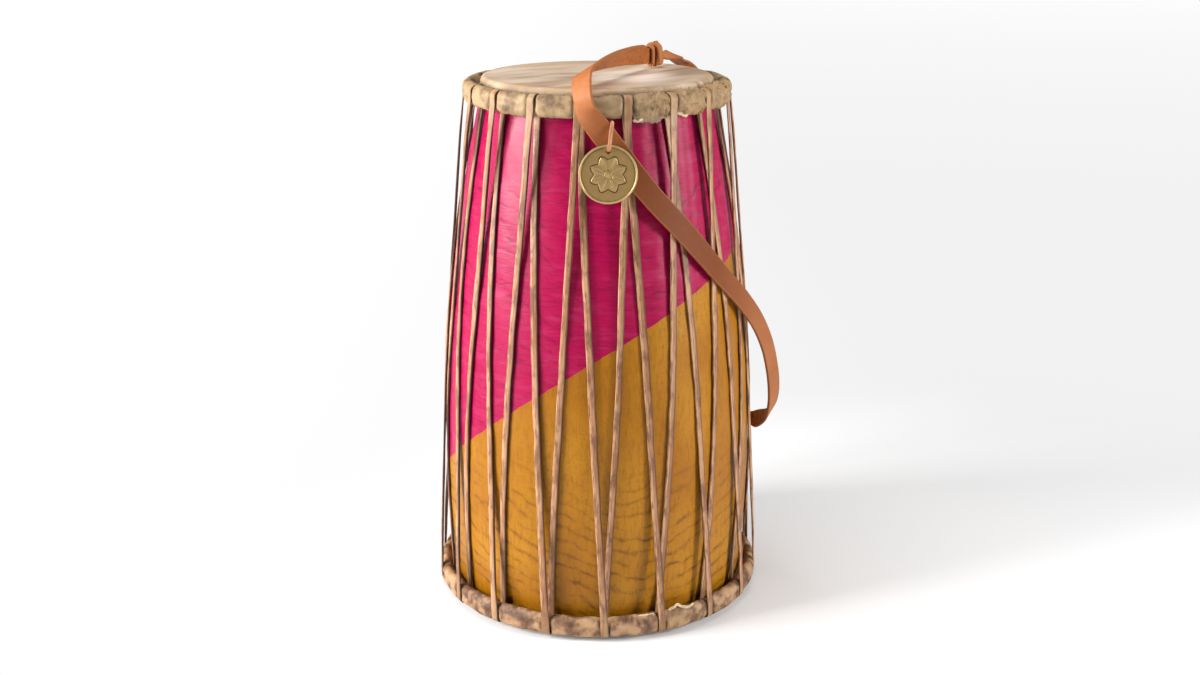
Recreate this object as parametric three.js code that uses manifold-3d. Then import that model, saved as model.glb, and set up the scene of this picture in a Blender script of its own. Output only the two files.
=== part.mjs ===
// A mandar drum: a hollow wooden barrel with a hide head at each end. One rawhide thong laces the two
// heads together, and a leather strap with a brass medallion is tied to the lacing.
// Millimetres, +Z up. The origin is the centre of the bottom head, on the surface that the drum stands on.
// The front of the drum faces -Y. A turn is an angle in degrees from the front towards +X.

import * as THREE from 'three';
import { mergeVertices } from 'three/addons/utils/BufferGeometryUtils.js';
import Module from 'manifold-3d';

const wasm = await Module();
wasm.setup();

// Barrel
const drumHeight = 490;
const bellyRadius = 145;
const bellyHeight = 130;
const shellTopRadius = 102.6;
const shellBottomRadius = 137.5;
const shellWall = 11;
const shellRings = 11;
const roundSteps = 48;

// Heads: hide stretched over each end and lapped round a cane hoop
const hideThickness = 1.8;
const shoulderRound = 4.5;
const rollDrop = 5;
const valleyDepth = 7;
const lapGap = 1.5;
const hoopWidth = 5;
const hoopHeight = 12.4;

// Lacing: one flat thong, over and behind the rolled edges by turns
const laceCount = 18;
const firstLaceTurn = -7.4;
const lacePairSpacing = 1;
const thongWidth = 5.4;
const thongThickness = 2;
const laceEndTurns = 9;
const laceTail = 34;

// Strap and the eyes that it swings on
const strapWidth = 20;
const strapThickness = 2.6;
const strapSteps = 64;
const eyeLace = 6;
const highEyeLace = 7;
const eyeBore = 4.5;
const eyeWall = 1.5;
const eyeHeight = 12;
const lowEyeHeight = 145;
const highEyeDrop = 40;
const taperLength = 22;
const frontGather = 30;
const backGather = 80;

// Knot in the strap, and the binding on the ends of the lacing
const knotCentre = new THREE.Vector2(52, 46);
const knotBearing = 55;
const knotStrapWidth = 14;
const knotBandWidth = 8;
const knotBandThickness = 2.4;
const knotTurns = 1.6;
const bindingBandWidth = 5;
const bindingBandThickness = 1.8;
const bindingTurns = 2;
const bindingDrop = 44;
const bandSpacing = 0.8;

// Medallion and the thin thong that it hangs on
const medallionDiameter = 49;
const medallionThickness = 2.4;
const medallionRimWidth = 1.6;
const medallionRecess = 0.5;
const medallionHole = 4.4;
const medallionHoleInset = 5.3;
const medallionLean = 4.5;
const tagDrop = 39.5;
const tagBelow = 6.5;
const tagSlant = 9;
const tagThongDiameter = 2;
const tagThongSides = 6;

// Clearances
const seat = 0.3;
const laceClearance = 0.8;
const strapClearance = 0.5;

const radians = THREE.MathUtils.degToRad;

// Materials
const paint = new THREE.MeshStandardMaterial({ color: 0xc2185b, roughness: 0.45, metalness: 0 });
const hide = new THREE.MeshStandardMaterial({ color: 0xb89b74, roughness: 0.7, metalness: 0 });
const cane = new THREE.MeshStandardMaterial({ color: 0xc8a468, roughness: 0.6, metalness: 0 });
const rawhide = new THREE.MeshStandardMaterial({ color: 0x9c6f4c, roughness: 0.6, metalness: 0 });
const leather = new THREE.MeshStandardMaterial({ color: 0xa8683f, roughness: 0.55, metalness: 0 });
const paleLeather = new THREE.MeshStandardMaterial({ color: 0xc98f66, roughness: 0.6, metalness: 0 });
const brass = new THREE.MeshStandardMaterial({ color: 0x8d7a45, roughness: 0.4, metalness: 1 });

// Mesh helpers

function signedVolume(geometry) {
  const position = geometry.getAttribute('position');
  const index = geometry.getIndex();
  const [a, b, c] = [new THREE.Vector3(), new THREE.Vector3(), new THREE.Vector3()];
  let sum = 0;
  for (let i = 0; i < index.count; i += 3) {
    a.fromBufferAttribute(position, index.getX(i));
    b.fromBufferAttribute(position, index.getX(i + 1));
    c.fromBufferAttribute(position, index.getX(i + 2));
    sum += a.dot(b.cross(c));
  }
  return sum / 6;
}

// Shares vertices, drops triangles of no area and turns the faces outwards
function closed(geometry) {
  const bare = geometry.clone();
  bare.deleteAttribute('normal');
  bare.deleteAttribute('uv');
  const merged = mergeVertices(bare, 1e-3);
  const old = merged.getIndex().array;
  const kept = [];
  for (let i = 0; i < old.length; i += 3) {
    const [a, b, c] = [old[i], old[i + 1], old[i + 2]];
    if (a !== b && b !== c && c !== a) kept.push(a, b, c);
  }
  merged.setIndex(kept);
  if (signedVolume(merged) < 0) {
    for (let i = 0; i < kept.length; i += 3) [kept[i + 1], kept[i + 2]] = [kept[i + 2], kept[i + 1]];
    merged.setIndex(kept);
  }
  return merged;
}

function toSolid(geometry) {
  const body = closed(geometry);
  const vertProperties = new Float32Array(body.getAttribute('position').array);
  const triVerts = new Uint32Array(body.getIndex().array);
  return new wasm.Manifold(new wasm.Mesh({ numProp: 3, vertProperties, triVerts }));
}

function fromSolid(solid) {
  const mesh = solid.getMesh();
  const geometry = new THREE.BufferGeometry();
  geometry.setAttribute('position', new THREE.BufferAttribute(new Float32Array(mesh.vertProperties), 3));
  geometry.setIndex(Array.from(mesh.triVerts));
  return geometry;
}

// Turns a profile of [radius, height] points about the Z axis
function revolve(profile) {
  const points = profile.map(([radius, height]) => new THREE.Vector2(radius, height));
  return closed(new THREE.LatheGeometry(points, roundSteps).rotateX(Math.PI / 2));
}

// Points of an arc in a profile, angles in degrees from the +radius direction towards +depth
function arc([radius, depth], size, from, to, steps) {
  return Array.from({ length: steps + 1 }, (_, i) => {
    const angle = radians(from + ((to - from) * i) / steps);
    return [radius + size * Math.cos(angle), depth + size * Math.sin(angle)];
  });
}

// Carries a flat rectangular section along stations { at, across, face, width, thickness }
function band(stations) {
  const corners = [[-1, -1], [1, -1], [1, 1], [-1, 1]];
  const vertices = [];
  const index = [];
  stations.forEach(({ at, across, face, width, thickness }) => {
    corners.forEach(([side, rise]) => {
      const corner = at.clone();
      corner.addScaledVector(across, (side * width) / 2);
      corner.addScaledVector(face, (rise * thickness) / 2);
      vertices.push(corner.x, corner.y, corner.z);
    });
  });
  for (let ring = 0; ring < stations.length - 1; ring += 1) {
    for (let side = 0; side < 4; side += 1) {
      const a = ring * 4 + side;
      const b = ring * 4 + ((side + 1) % 4);
      index.push(a, b, b + 4, a, b + 4, a + 4);
    }
  }
  const last = (stations.length - 1) * 4;
  index.push(0, 2, 1, 0, 3, 2, last, last + 1, last + 2, last, last + 2, last + 3);
  const geometry = new THREE.BufferGeometry();
  geometry.setAttribute('position', new THREE.BufferAttribute(new Float32Array(vertices), 3));
  geometry.setIndex(index);
  return closed(geometry);
}

// Direction along a row of points at one of them: the mean of the steps before and after it.
// The stretch is what a mitred corner adds to a section, so that a bent band keeps its thickness.
function heading(points, i) {
  const before = points[i].clone().sub(points[Math.max(i - 1, 0)]).normalize();
  const after = points[Math.min(i + 1, points.length - 1)].clone().sub(points[i]).normalize();
  const mean = before.add(after);
  const stretch = i === 0 || i === points.length - 1 ? 1 : 2 / mean.length();
  return { along: mean.normalize(), stretch };
}

function around(turn, radius, height) {
  const angle = radians(turn);
  return new THREE.Vector3(radius * Math.sin(angle), -radius * Math.cos(angle), height);
}

// The barrel's outer radius: two half parabolas that meet at the belly
const rimDepth = hideThickness + seat;

function shellRadius(height) {
  const upper = height > bellyHeight;
  const endRadius = upper ? shellTopRadius : shellBottomRadius;
  const reach = upper ? drumHeight - rimDepth - bellyHeight : bellyHeight - rimDepth;
  return bellyRadius - (bellyRadius - endRadius) * ((height - bellyHeight) / reach) ** 2;
}

const shellHeights = Array.from({ length: shellRings }, (_, i) => {
  const low = shoulderRound;
  return low + ((drumHeight - 2 * low) * i) / (shellRings - 1);
});

// An end of the drum. Depth is measured from the outer face of its head towards the middle of the drum.
function drumEnd(height) {
  const radiusAt = (depth) => shellRadius(height(depth));
  const rollHalfWidth = hoopWidth / 2 + seat + hideThickness;
  const straight = (hoopHeight - hoopWidth) / 2;
  const valley = rollDrop + valleyDepth;
  const rollEnd = rollDrop + 2 * (straight + rollHalfWidth);
  const skirt = (depth) => radiusAt(depth) + seat + hideThickness;
  const laceGap = thongThickness + 2 * laceClearance;
  const rollInner = Math.max(radiusAt(rollEnd), skirt(valley)) + laceGap;
  const rollCentre = [rollInner + rollHalfWidth, rollDrop + straight + rollHalfWidth];
  const laceReach = rollHalfWidth + laceClearance + thongThickness / 2;
  return { height, radiusAt, skirt, rollHalfWidth, straight, valley, rollInner, rollCentre, laceReach };
}

const topEnd = drumEnd((depth) => drumHeight - depth);
const bottomEnd = drumEnd((depth) => depth);

function drumShell() {
  const edge = shoulderRound - hideThickness - seat;
  const rim = (end, from, to) => {
    const centre = [end.skirt(shoulderRound) - shoulderRound, shoulderRound];
    return arc(centre, edge, from, to, 2).map(([radius, depth]) => [radius, end.height(depth)]);
  };
  const outer = shellHeights.slice(1, -1).map((height) => [shellRadius(height), height]);
  const innerHeights = shellHeights.filter((_, i) => i % 2 === 0).reverse();
  const inner = innerHeights.map((height) => [shellRadius(height) - shellWall, height]);
  const innerTop = [inner[0][0], drumHeight - rimDepth];
  const innerBottom = [inner[inner.length - 1][0], rimDepth];
  const profile = [innerBottom, ...rim(bottomEnd, -90, 0), ...outer, ...rim(topEnd, 0, -90), innerTop];
  profile.push(...inner.slice(1, -1), innerBottom);
  return revolve(profile);
}

// Rolled edge in section: a stadium at a distance from the middle line of the hoop, in two arcs
function stadium(end, size, steps) {
  const [radius, depth] = end.rollCentre;
  const outside = arc([radius, depth - end.straight], size, -180, 0, steps);
  const inside = arc([radius, depth + end.straight], size, 0, 180, steps);
  return [...outside, ...inside];
}

function hoop(end) {
  const outline = stadium(end, hoopWidth / 2, 3);
  return revolve([...outline, outline[0]].map(([radius, depth]) => [radius, end.height(depth)]));
}

function head(end, laceTurns) {
  const under = end.valley + hideThickness;
  const shoulder = [end.skirt(shoulderRound) - shoulderRound, shoulderRound];
  const rollInside = end.rollInner + hideThickness;
  const lapEnd = under + lapGap;
  const profile = [
    [0, 0],
    ...arc(shoulder, shoulderRound, -90, 0, 3),
    [end.skirt(end.valley), end.valley],
    [end.rollInner, end.valley],
    ...stadium(end, end.rollHalfWidth, 4),
    [end.rollInner, lapEnd],
    [rollInside, lapEnd],
    ...stadium(end, hoopWidth / 2 + seat, 3).reverse(),
    [rollInside, under],
    [end.radiusAt(under) + seat, under],
    ...arc(shoulder, shoulderRound - hideThickness, 0, -90, 2),
    [0, hideThickness],
  ];
  const skin = toSolid(revolve(profile.map(([radius, depth]) => [radius, end.height(depth)])));
  const holes = laceTurns.map((turn) => toSolid(laceHole(end, turn)));
  return fromSolid(skin.subtract(wasm.Manifold.union(holes)));
}

// A hole for the thong in the floor of the valley between the skirt and the rolled edge
function laceHole(end, turn) {
  const [before, after] = overRoll(end, turn).slice(-2);
  const holeTurn = (before[2] + after[2]) / 2;
  const slant = radians(after[2] - before[2]) * end.rollInner;
  const radial = thongThickness + 2 * laceClearance;
  const wide = thongWidth + 2 * laceClearance + slant;
  const deep = hideThickness + 2 * laceClearance;
  const hole = new THREE.BoxGeometry(wide, radial, deep);
  const middle = around(holeTurn, end.rollInner - laceClearance - thongThickness / 2, 0);
  hole.rotateZ(radians(holeTurn));
  return hole.translate(middle.x, middle.y, end.height(end.valley + hideThickness / 2));
}

// Lacing

const laceStep = 360 / laceCount;

function pairAngle(end) {
  return THREE.MathUtils.radToDeg(lacePairSpacing / end.rollCentre[0]) / 2;
}

function topTurn(k) {
  return firstLaceTurn + laceStep * k;
}

function bottomTurn(k) {
  return topTurn(k) + laceStep / 2;
}

// The thong's way over a rolled edge, as [radius, height, turn], from the outer side to the inner side
function overRoll(end, turn) {
  const way = stadium(end, end.laceReach, 4).slice(0, 5).reverse();
  const low = end.rollCentre[1] + end.straight;
  const [outer, inner] = [way[0], way[way.length - 1]];
  const outline = [[outer[0], low], ...way, [inner[0], low]];
  const shift = (2 * pairAngle(end)) / (outline.length - 1);
  return outline.map(([radius, depth], i) => {
    return [radius, end.height(depth), turn - pairAngle(end) + shift * i];
  });
}

// A taut run between two points [radius, height, turn]: it touches the barrel, or another piece it
// passes over, only where it has to, so in section it is the convex hull of what lies under it
function tautRun(from, to, over = []) {
  const lie = laceClearance + thongThickness / 2;
  const low = Math.min(from[1], to[1]);
  const high = Math.max(from[1], to[1]);
  const between = shellHeights.filter((height) => height > low && height < high);
  const under = between.map((height) => [shellRadius(height) + lie, height]);
  const ends = [from, to].map(([radius, height]) => [radius, height]);
  const sorted = [...under, ...ends, ...over].sort((a, b) => a[1] - b[1]);
  const hull = [];
  sorted.forEach((point) => {
    const dips = () => {
      const [a, b] = hull.slice(-2);
      return (b[0] - a[0]) * (point[1] - a[1]) <= (point[0] - a[0]) * (b[1] - a[1]);
    };
    while (hull.length > 1 && dips()) hull.pop();
    hull.push(point);
  });
  if (from[1] > to[1]) hull.reverse();
  const turnAt = (height) => from[2] + ((to[2] - from[2]) * (height - from[1])) / (to[1] - from[1]);
  return hull.map(([radius, height]) => [radius, height, turnAt(height)]);
}

// The run that carries the strap is held off the barrel by the strap's lower eye
const eyeReach = eyeBore + eyeWall;
const lowEye = [shellRadius(lowEyeHeight) + strapClearance + eyeReach, lowEyeHeight];

function risingRun(k) {
  const from = overRoll(bottomEnd, bottomTurn(k)).pop();
  const to = overRoll(topEnd, topTurn(k + 1))[0];
  return tautRun(from, to, (k + 1) % laceCount === eyeLace ? [lowEye] : []);
}

function fallingRun(k) {
  const from = overRoll(topEnd, topTurn(k)).pop();
  const to = overRoll(bottomEnd, bottomTurn(k))[0];
  return tautRun(from, to);
}

// The whole thong: from its tail, over the top edge, down, round the bottom edge, up, and so on
// round the drum, to its other end beside the tail
function lacingRoute() {
  const first = laceEndTurns;
  const [tailRadius, tailHeight, tailTurn] = overRoll(topEnd, topTurn(first))[0];
  const route = [[tailRadius, tailHeight - laceTail, tailTurn]];
  for (let k = first; k < first + laceCount; k += 1) {
    route.push(...overRoll(topEnd, topTurn(k)));
    route.push(...fallingRun(k).slice(1, -1));
    route.push(...overRoll(bottomEnd, bottomTurn(k)));
    const rise = risingRun(k);
    const isLast = k === first + laceCount - 1;
    if (!isLast) route.push(...rise.slice(1, -1));
    if (isLast) route.push(...lastRise(rise));
  }
  return route;
}

// The last run up ends beside the tail, one thong width away
function lastRise(rise) {
  const [radius, height, turn] = rise[rise.length - 1];
  const beside = THREE.MathUtils.radToDeg((thongWidth + 2 * laceClearance) / radius);
  const low = height - laceTail;
  const shifted = rise.slice(1, -1).filter((point) => point[1] < low - laceTail);
  return [...shifted, [radius, low, turn - beside], [radius, low + laceTail / 2, turn - beside]];
}

function lacingStations(route) {
  const points = route.map(([radius, height, turn]) => around(turn, radius, height));
  return points.map((at, i) => {
    const { along, stretch } = heading(points, i);
    const across = around(route[i][2] + 90, 1, 0);
    across.addScaledVector(along, -across.dot(along)).normalize();
    const face = across.clone().cross(along);
    return { at, across, face, width: thongWidth, thickness: thongThickness * stretch };
  });
}

// Least gap of the thong to itself, between points on its four edges and the middles of its faces
function lacingSelfGap(stations) {
  const spacing = 4;
  const apart = Math.ceil((6 * thongWidth) / spacing);
  const rows = [];
  for (let i = 0; i < stations.length - 1; i += 1) {
    const [a, b] = [stations[i], stations[i + 1]];
    const count = Math.ceil(a.at.distanceTo(b.at) / spacing);
    for (let j = 0; j < count; j += 1) {
      const at = a.at.clone().lerp(b.at, j / count);
      const across = a.across.clone().lerp(b.across, j / count);
      const face = a.face.clone().lerp(b.face, j / count);
      rows.push([-0.5, 0, 0.5].flatMap((side) => [-0.5, 0.5].map((rise) => {
        const point = at.clone().addScaledVector(across, side * thongWidth);
        return point.addScaledVector(face, rise * thongThickness);
      })));
    }
  }
  let least = Infinity;
  for (let i = 0; i < rows.length; i += 1) {
    for (let j = i + apart; j < rows.length; j += 1) {
      if (rows[i][0].distanceTo(rows[j][0]) > 4 * thongWidth) continue;
      rows[i].forEach((a) => rows[j].forEach((b) => {
        least = Math.min(least, a.distanceTo(b));
      }));
    }
  }
  return least;
}

// The lacing's outermost radius at a height, which the strap lies on
function lacingReach(height) {
  const runs = [risingRun(0), fallingRun(0)];
  const radii = runs.map((run) => {
    const sorted = [...run].sort((a, b) => a[1] - b[1]);
    if (height >= sorted[sorted.length - 1][1]) return sorted[sorted.length - 1][0];
    const i = Math.max(1, sorted.findIndex((point) => point[1] > height));
    const [low, high] = [sorted[i - 1], sorted[i]];
    return low[0] + ((high[0] - low[0]) * (height - low[1])) / (high[1] - low[1]);
  });
  return Math.max(...radii) + thongThickness / 2;
}

// A flat band wound round a stadium-shaped core: a knot or a binding.
// The core's section is wide by thick. The winding climbs along its axis.
function wrap({ centre, axis, wide, core, coreThickness, bandWidth, bandThickness, turns }) {
  const radius = coreThickness / 2 + laceClearance + bandThickness / 2;
  const straight = core / 2;
  const deep = axis.clone().cross(wide).normalize();
  const arcSteps = 4;
  const lap = 2 * (arcSteps + 1);
  const steps = Math.round(turns * lap);
  const climb = ((bandWidth + bandSpacing) * turns) / steps;
  const points = [];
  const faces = [];
  for (let i = 0; i <= steps; i += 1) {
    const place = i % lap;
    const half = place < arcSteps + 1 ? 1 : -1;
    const angle = radians(-90 + (180 * (place % (arcSteps + 1))) / arcSteps);
    const face = wide.clone().multiplyScalar(half * Math.cos(angle));
    face.addScaledVector(deep, half * Math.sin(angle));
    const at = centre.clone().addScaledVector(axis, climb * (i - steps / 2));
    at.addScaledVector(wide, half * straight).addScaledVector(face, radius);
    points.push(at);
    faces.push(face);
  }
  return band(points.map((at, i) => {
    const { along } = heading(points, i);
    const across = axis.clone().addScaledVector(along, -axis.dot(along)).normalize();
    return { at, across, face: faces[i], width: bandWidth, thickness: bandThickness };
  }));
}

// Strap

const knotReach = ((knotBandWidth + bandSpacing) * knotTurns + knotBandWidth) / 2;
const strapEdgeRest = drumHeight + seat + strapWidth / 2;
const knotHeight = drumHeight + seat + knotStrapWidth / 2 + strapThickness / 2 + laceClearance
  + knotBandThickness;

// A point of the strap on the lacing: how far below the head, at which turn, and how far off the lacing
function onLacing(turn, drop, off = 0) {
  const height = drumHeight - drop;
  const radius = lacingReach(height) + strapClearance + strapThickness / 2 + off;
  return around(turn, radius, height);
}

// A point of the strap over the head, and how far above the height at which its lower edge would touch
function overHead(x, y, rise) {
  return new THREE.Vector3(x, y, strapEdgeRest + rise);
}

// A point of a lacing run that carries the strap, and the run's way there
function eyeOn(lace, height) {
  const run = risingRun(lace - 1);
  const i = Math.max(1, run.findIndex((point) => point[1] >= height));
  const [low, high] = [run[i - 1], run[i]];
  const share = (height - low[1]) / (high[1] - low[1]);
  const [radius, , turn] = low.map((value, n) => value + (high[n] - value) * share);
  const [foot, top] = [low, high].map(([r, z, t]) => around(t, r, z));
  const centre = around(turn, radius, height);
  const side = new THREE.Vector3(centre.x, centre.y, 0).normalize();
  return { centre, side, way: top.sub(foot).normalize() };
}

const lowEyePlace = eyeOn(eyeLace, lowEyeHeight);
const highEyePlace = eyeOn(highEyeLace, drumHeight - highEyeDrop);
const swingAxis = highEyePlace.centre.clone().sub(lowEyePlace.centre).normalize();
const eyeMiddle = eyeBore + eyeWall / 2;

// Stations of the long length, from the knot over the front rim to the lower eye. Each has its place
// and the way that one face looks: forward and down above the head, and inwards below the rim.
const knotAxis = new THREE.Vector3(Math.cos(radians(knotBearing)), Math.sin(radians(knotBearing)), 0);
const knotFace = [knotAxis.y, -knotAxis.x, 0];
const inKnot = (along) => {
  return new THREE.Vector3(knotCentre.x, knotCentre.y, knotHeight).addScaledVector(knotAxis, along);
};
const frontRoute = [
  { at: inKnot(-seat), face: knotFace },
  { at: inKnot(-knotReach), face: knotFace },
  { at: overHead(38.8, 14, 4.8), face: [0.81, -0.37, -0.46] },
  { at: overHead(29.4, -10, 7), face: [0.78, -0.33, -0.53] },
  { at: overHead(19.7, -34, 8), face: [0.75, -0.3, -0.59] },
  { at: overHead(10, -58, 8.4), face: [0.69, -0.28, -0.67] },
  { at: overHead(0.2, -82, 7.7), face: [0.6, -0.24, -0.77] },
  { at: overHead(-7.6, -102, 6), face: [0.53, -0.12, -0.84] },
  { at: overHead(-12, -116, 2.2), face: [0.58, 0.36, -0.73] },
  { at: overHead(-12.4, -125, -5.8), face: [0.62, 0.7, -0.36] },
  { at: onLacing(-4.9, 5, 5.9), face: [0.64, 0.76, -0.12] },
  { at: onLacing(-3.7, 15, 4.4), face: [0.48, 0.87, -0.04] },
  { at: onLacing(-0.8, 25, 2), face: [0.2, 0.98, -0.03] },
  { at: onLacing(3.7, 38, 0.5), face: [-0.03, 1, -0.06] },
  { at: onLacing(11.2, 60), face: [-0.19, 0.98, -0.08] },
  { at: onLacing(21, 88), face: [-0.36, 0.93, -0.1] },
  { at: onLacing(32.6, 117), face: [-0.54, 0.84, -0.1] },
  { at: onLacing(43, 143), face: [-0.68, 0.73, -0.1] },
  { at: onLacing(52.8, 166), face: [-0.78, 0.62, -0.1] },
  { at: onLacing(61.4, 184, 1), face: [-0.84, 0.53, -0.1] },
  { at: onLacing(69, 203, 5), face: [-0.86, 0.5, -0.08] },
  { at: onLacing(75.4, 223, 10), face: [-0.86, 0.5, -0.05] },
  { at: onLacing(80.6, 246, 15), face: [-0.85, 0.53, 0] },
  { at: onLacing(84.2, 266, 18), face: [-0.83, 0.56, 0] },
  { at: onLacing(87.2, 290.5, 20.5), face: [-0.82, 0.57, 0.04] },
  { at: onLacing(89.6, 311, 20.3), face: [-0.84, 0.5, 0.2] },
  { at: onLacing(92.6, 327, 17.5), face: [-0.84, 0.22, 0.5] },
  { at: onLacing(97, 337.5, 12), face: [-0.8, -0.1, 0.6] },
  { at: onLacing(101.5, 342.5, 7.2), face: [-0.9, -0.2, 0.35] },
];
frontRoute.push({
  at: lowEyePlace.centre.clone().addScaledVector(lowEyePlace.side, eyeMiddle),
  face: lowEyePlace.side.clone().negate().toArray(),
});

// Stations of the short length, from the knot over the back rim to the upper eye
const outwards = highEyePlace.side.toArray();
const overEdge = (turn, out, drop) => around(turn, lacingReach(drumHeight) + out, drumHeight - drop);
const backHang = highEyePlace.centre.clone().addScaledVector(highEyePlace.side, eyeMiddle + seat);
const backRoute = [
  { at: inKnot(seat), face: knotFace },
  { at: inKnot(knotReach), face: knotFace },
  { at: overHead(63.4, 62.3, 0.4), face: [0.6, -0.44, 0.67] },
  { at: overHead(68, 69, -1), face: [0.24, -0.18, 0.95] },
  { at: overHead(72, 75.8, -2.9), face: [0.17, -0.08, 0.98] },
  { at: overHead(75, 82.4, -6), face: [0.2, 0.12, 0.97] },
  { at: overEdge(139.4, -5.2, -0.5), face: [0.34, 0.4, 0.85] },
  { at: overEdge(138, 3.1, 4.2), face: [0.54, 0.6, 0.59] },
  { at: overEdge(135.4, 6.7, 12), face: [0.69, 0.71, 0.15] },
  { at: overEdge(133.2, 7.4, 20), face: [0.74, 0.67, 0] },
  { at: overEdge(131.2, 6.4, 29), face: outwards },
  { at: backHang.clone().addScaledVector(highEyePlace.way, eyeHeight / 4), face: outwards },
  { at: backHang.clone().addScaledVector(highEyePlace.way, -eyeHeight / 3), face: outwards },
];

// Evenly spaced stations of a strap, narrower at the knot and at the eye
function strapStations(route, steps, eyeWidth, gather) {
  const line = new THREE.CatmullRomCurve3(route.map(({ at }) => at), false, 'centripetal');
  const facing = new THREE.CatmullRomCurve3(route.map(({ face }) => new THREE.Vector3(...face).normalize()));
  line.arcLengthDivisions = 40 * route.length;
  const length = line.getLength();
  const points = Array.from({ length: steps + 1 }, (_, i) => line.getPointAt(i / steps));
  const stations = points.map((at, i) => {
    const along = line.getTangentAt(i / steps);
    const face = facing.getPoint(line.getUtoTmapping(i / steps));
    const across = face.cross(along).normalize();
    const fromKnot = (length * i) / steps;
    const knotShare = THREE.MathUtils.smoothstep(fromKnot, knotReach, knotReach + gather);
    const eyeShare = THREE.MathUtils.smoothstep(length - fromKnot, 0, taperLength);
    const width = Math.min(
      THREE.MathUtils.lerp(knotStrapWidth, strapWidth, knotShare),
      THREE.MathUtils.lerp(eyeWidth, strapWidth, eyeShare),
    );
    return { at, across, face: along.clone().cross(across), width, thickness: strapThickness };
  });
  return { stations, length };
}

function eye({ centre, way }) {
  const outline = [
    [eyeBore, -eyeHeight / 2],
    [eyeBore + eyeWall, -eyeHeight / 2],
    [eyeBore + eyeWall, eyeHeight / 2],
    [eyeBore, eyeHeight / 2],
    [eyeBore, -eyeHeight / 2],
  ];
  const points = outline.map(([radius, height]) => new THREE.Vector2(radius, height));
  const ring = new THREE.LatheGeometry(points, roundSteps / 3);
  const upright = new THREE.Quaternion().setFromUnitVectors(new THREE.Vector3(0, 1, 0), way);
  ring.applyQuaternion(upright);
  return ring.translate(centre.x, centre.y, centre.z);
}

function strapLength(stations, place) {
  return fromSolid(toSolid(band(stations)).add(toSolid(eye(place))));
}

const front = strapStations(frontRoute, strapSteps, eyeHeight - 2 * seat, frontGather);
const back = strapStations(backRoute, Math.round(strapSteps / 3), eyeHeight - 2 * seat, backGather);

function strapKnot() {
  return wrap({
    centre: new THREE.Vector3(knotCentre.x, knotCentre.y, knotHeight),
    axis: knotAxis,
    wide: new THREE.Vector3(0, 0, 1),
    core: knotStrapWidth,
    coreThickness: strapThickness,
    bandWidth: knotBandWidth,
    bandThickness: knotBandThickness,
    turns: knotTurns,
  });
}

// Binding round the tail and the other end of the lacing thong
function lacingKnot(route) {
  const [radius, , tailTurn] = route[0];
  const lastTurn = route[route.length - 1][2];
  const endTurn = lastTurn + 360 * Math.round((tailTurn - lastTurn) / 360);
  const middle = (tailTurn + endTurn) / 2;
  return wrap({
    centre: around(middle, radius, drumHeight - bindingDrop),
    axis: new THREE.Vector3(0, 0, 1),
    wide: around(middle + 90, 1, 0),
    core: 2 * thongWidth + 2 * laceClearance,
    coreThickness: thongThickness,
    bandWidth: bindingBandWidth,
    bandThickness: bindingBandThickness,
    turns: bindingTurns,
  });
}

// The thin thong goes round the strap where the strap is this far below the head

const fineStrap = strapStations(frontRoute, 8 * strapSteps, eyeHeight, frontGather).stations;
const tagStation = fineStrap.find(({ at }) => at.z < drumHeight - tagDrop);
const tagUp = new THREE.Vector3(Math.sin(radians(tagSlant)), 0, Math.cos(radians(tagSlant)));
const tagOut = tagStation.face.clone().negate();
tagUp.addScaledVector(tagOut, -tagUp.dot(tagOut)).normalize();
const tagSide = tagUp.clone().cross(tagOut);

// A place near the strap's section: how far up the thong's way, and how far out from the strap's middle
function bySection(up, out) {
  return tagStation.at.clone().addScaledVector(tagUp, up).addScaledVector(tagOut, out);
}

const tagTilt = Math.abs(tagUp.dot(tagStation.across));
const tagReach = (strapWidth / 2 + tagThongDiameter / 2 * Math.sqrt(1 - tagTilt ** 2)) / tagTilt;
const tagOff = strapThickness / 2 + strapClearance + tagThongDiameter / 2;
const medallionBack = tagOff + tagThongDiameter / 2 + strapClearance;
const tagFront = medallionBack + medallionThickness + strapClearance + tagThongDiameter / 2;
const medallionHang = bySection(-tagBelow, medallionBack + medallionThickness / 2);

// A closed loop of round section through points that lie near one plane
function ringTube(points, side, diameter, sides) {
  const line = new THREE.CatmullRomCurve3(points, true, 'centripetal');
  const steps = 3 * points.length;
  const vertices = [];
  const index = [];
  for (let i = 0; i < steps; i += 1) {
    const at = line.getPoint(i / steps);
    const rise = line.getTangent(i / steps).cross(side).normalize();
    for (let j = 0; j < sides; j += 1) {
      const angle = (2 * Math.PI * j) / sides;
      const point = at.clone().addScaledVector(side, (Math.cos(angle) * diameter) / 2);
      point.addScaledVector(rise, (Math.sin(angle) * diameter) / 2);
      vertices.push(point.x, point.y, point.z);
      const [a, b] = [i * sides + j, i * sides + ((j + 1) % sides)];
      const [c, d] = [a, b].map((n) => (n + sides) % (steps * sides));
      index.push(a, b, d, a, d, c);
    }
  }
  const geometry = new THREE.BufferGeometry();
  geometry.setAttribute('position', new THREE.BufferAttribute(new Float32Array(vertices), 3));
  geometry.setIndex(index);
  return closed(geometry);
}

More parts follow.
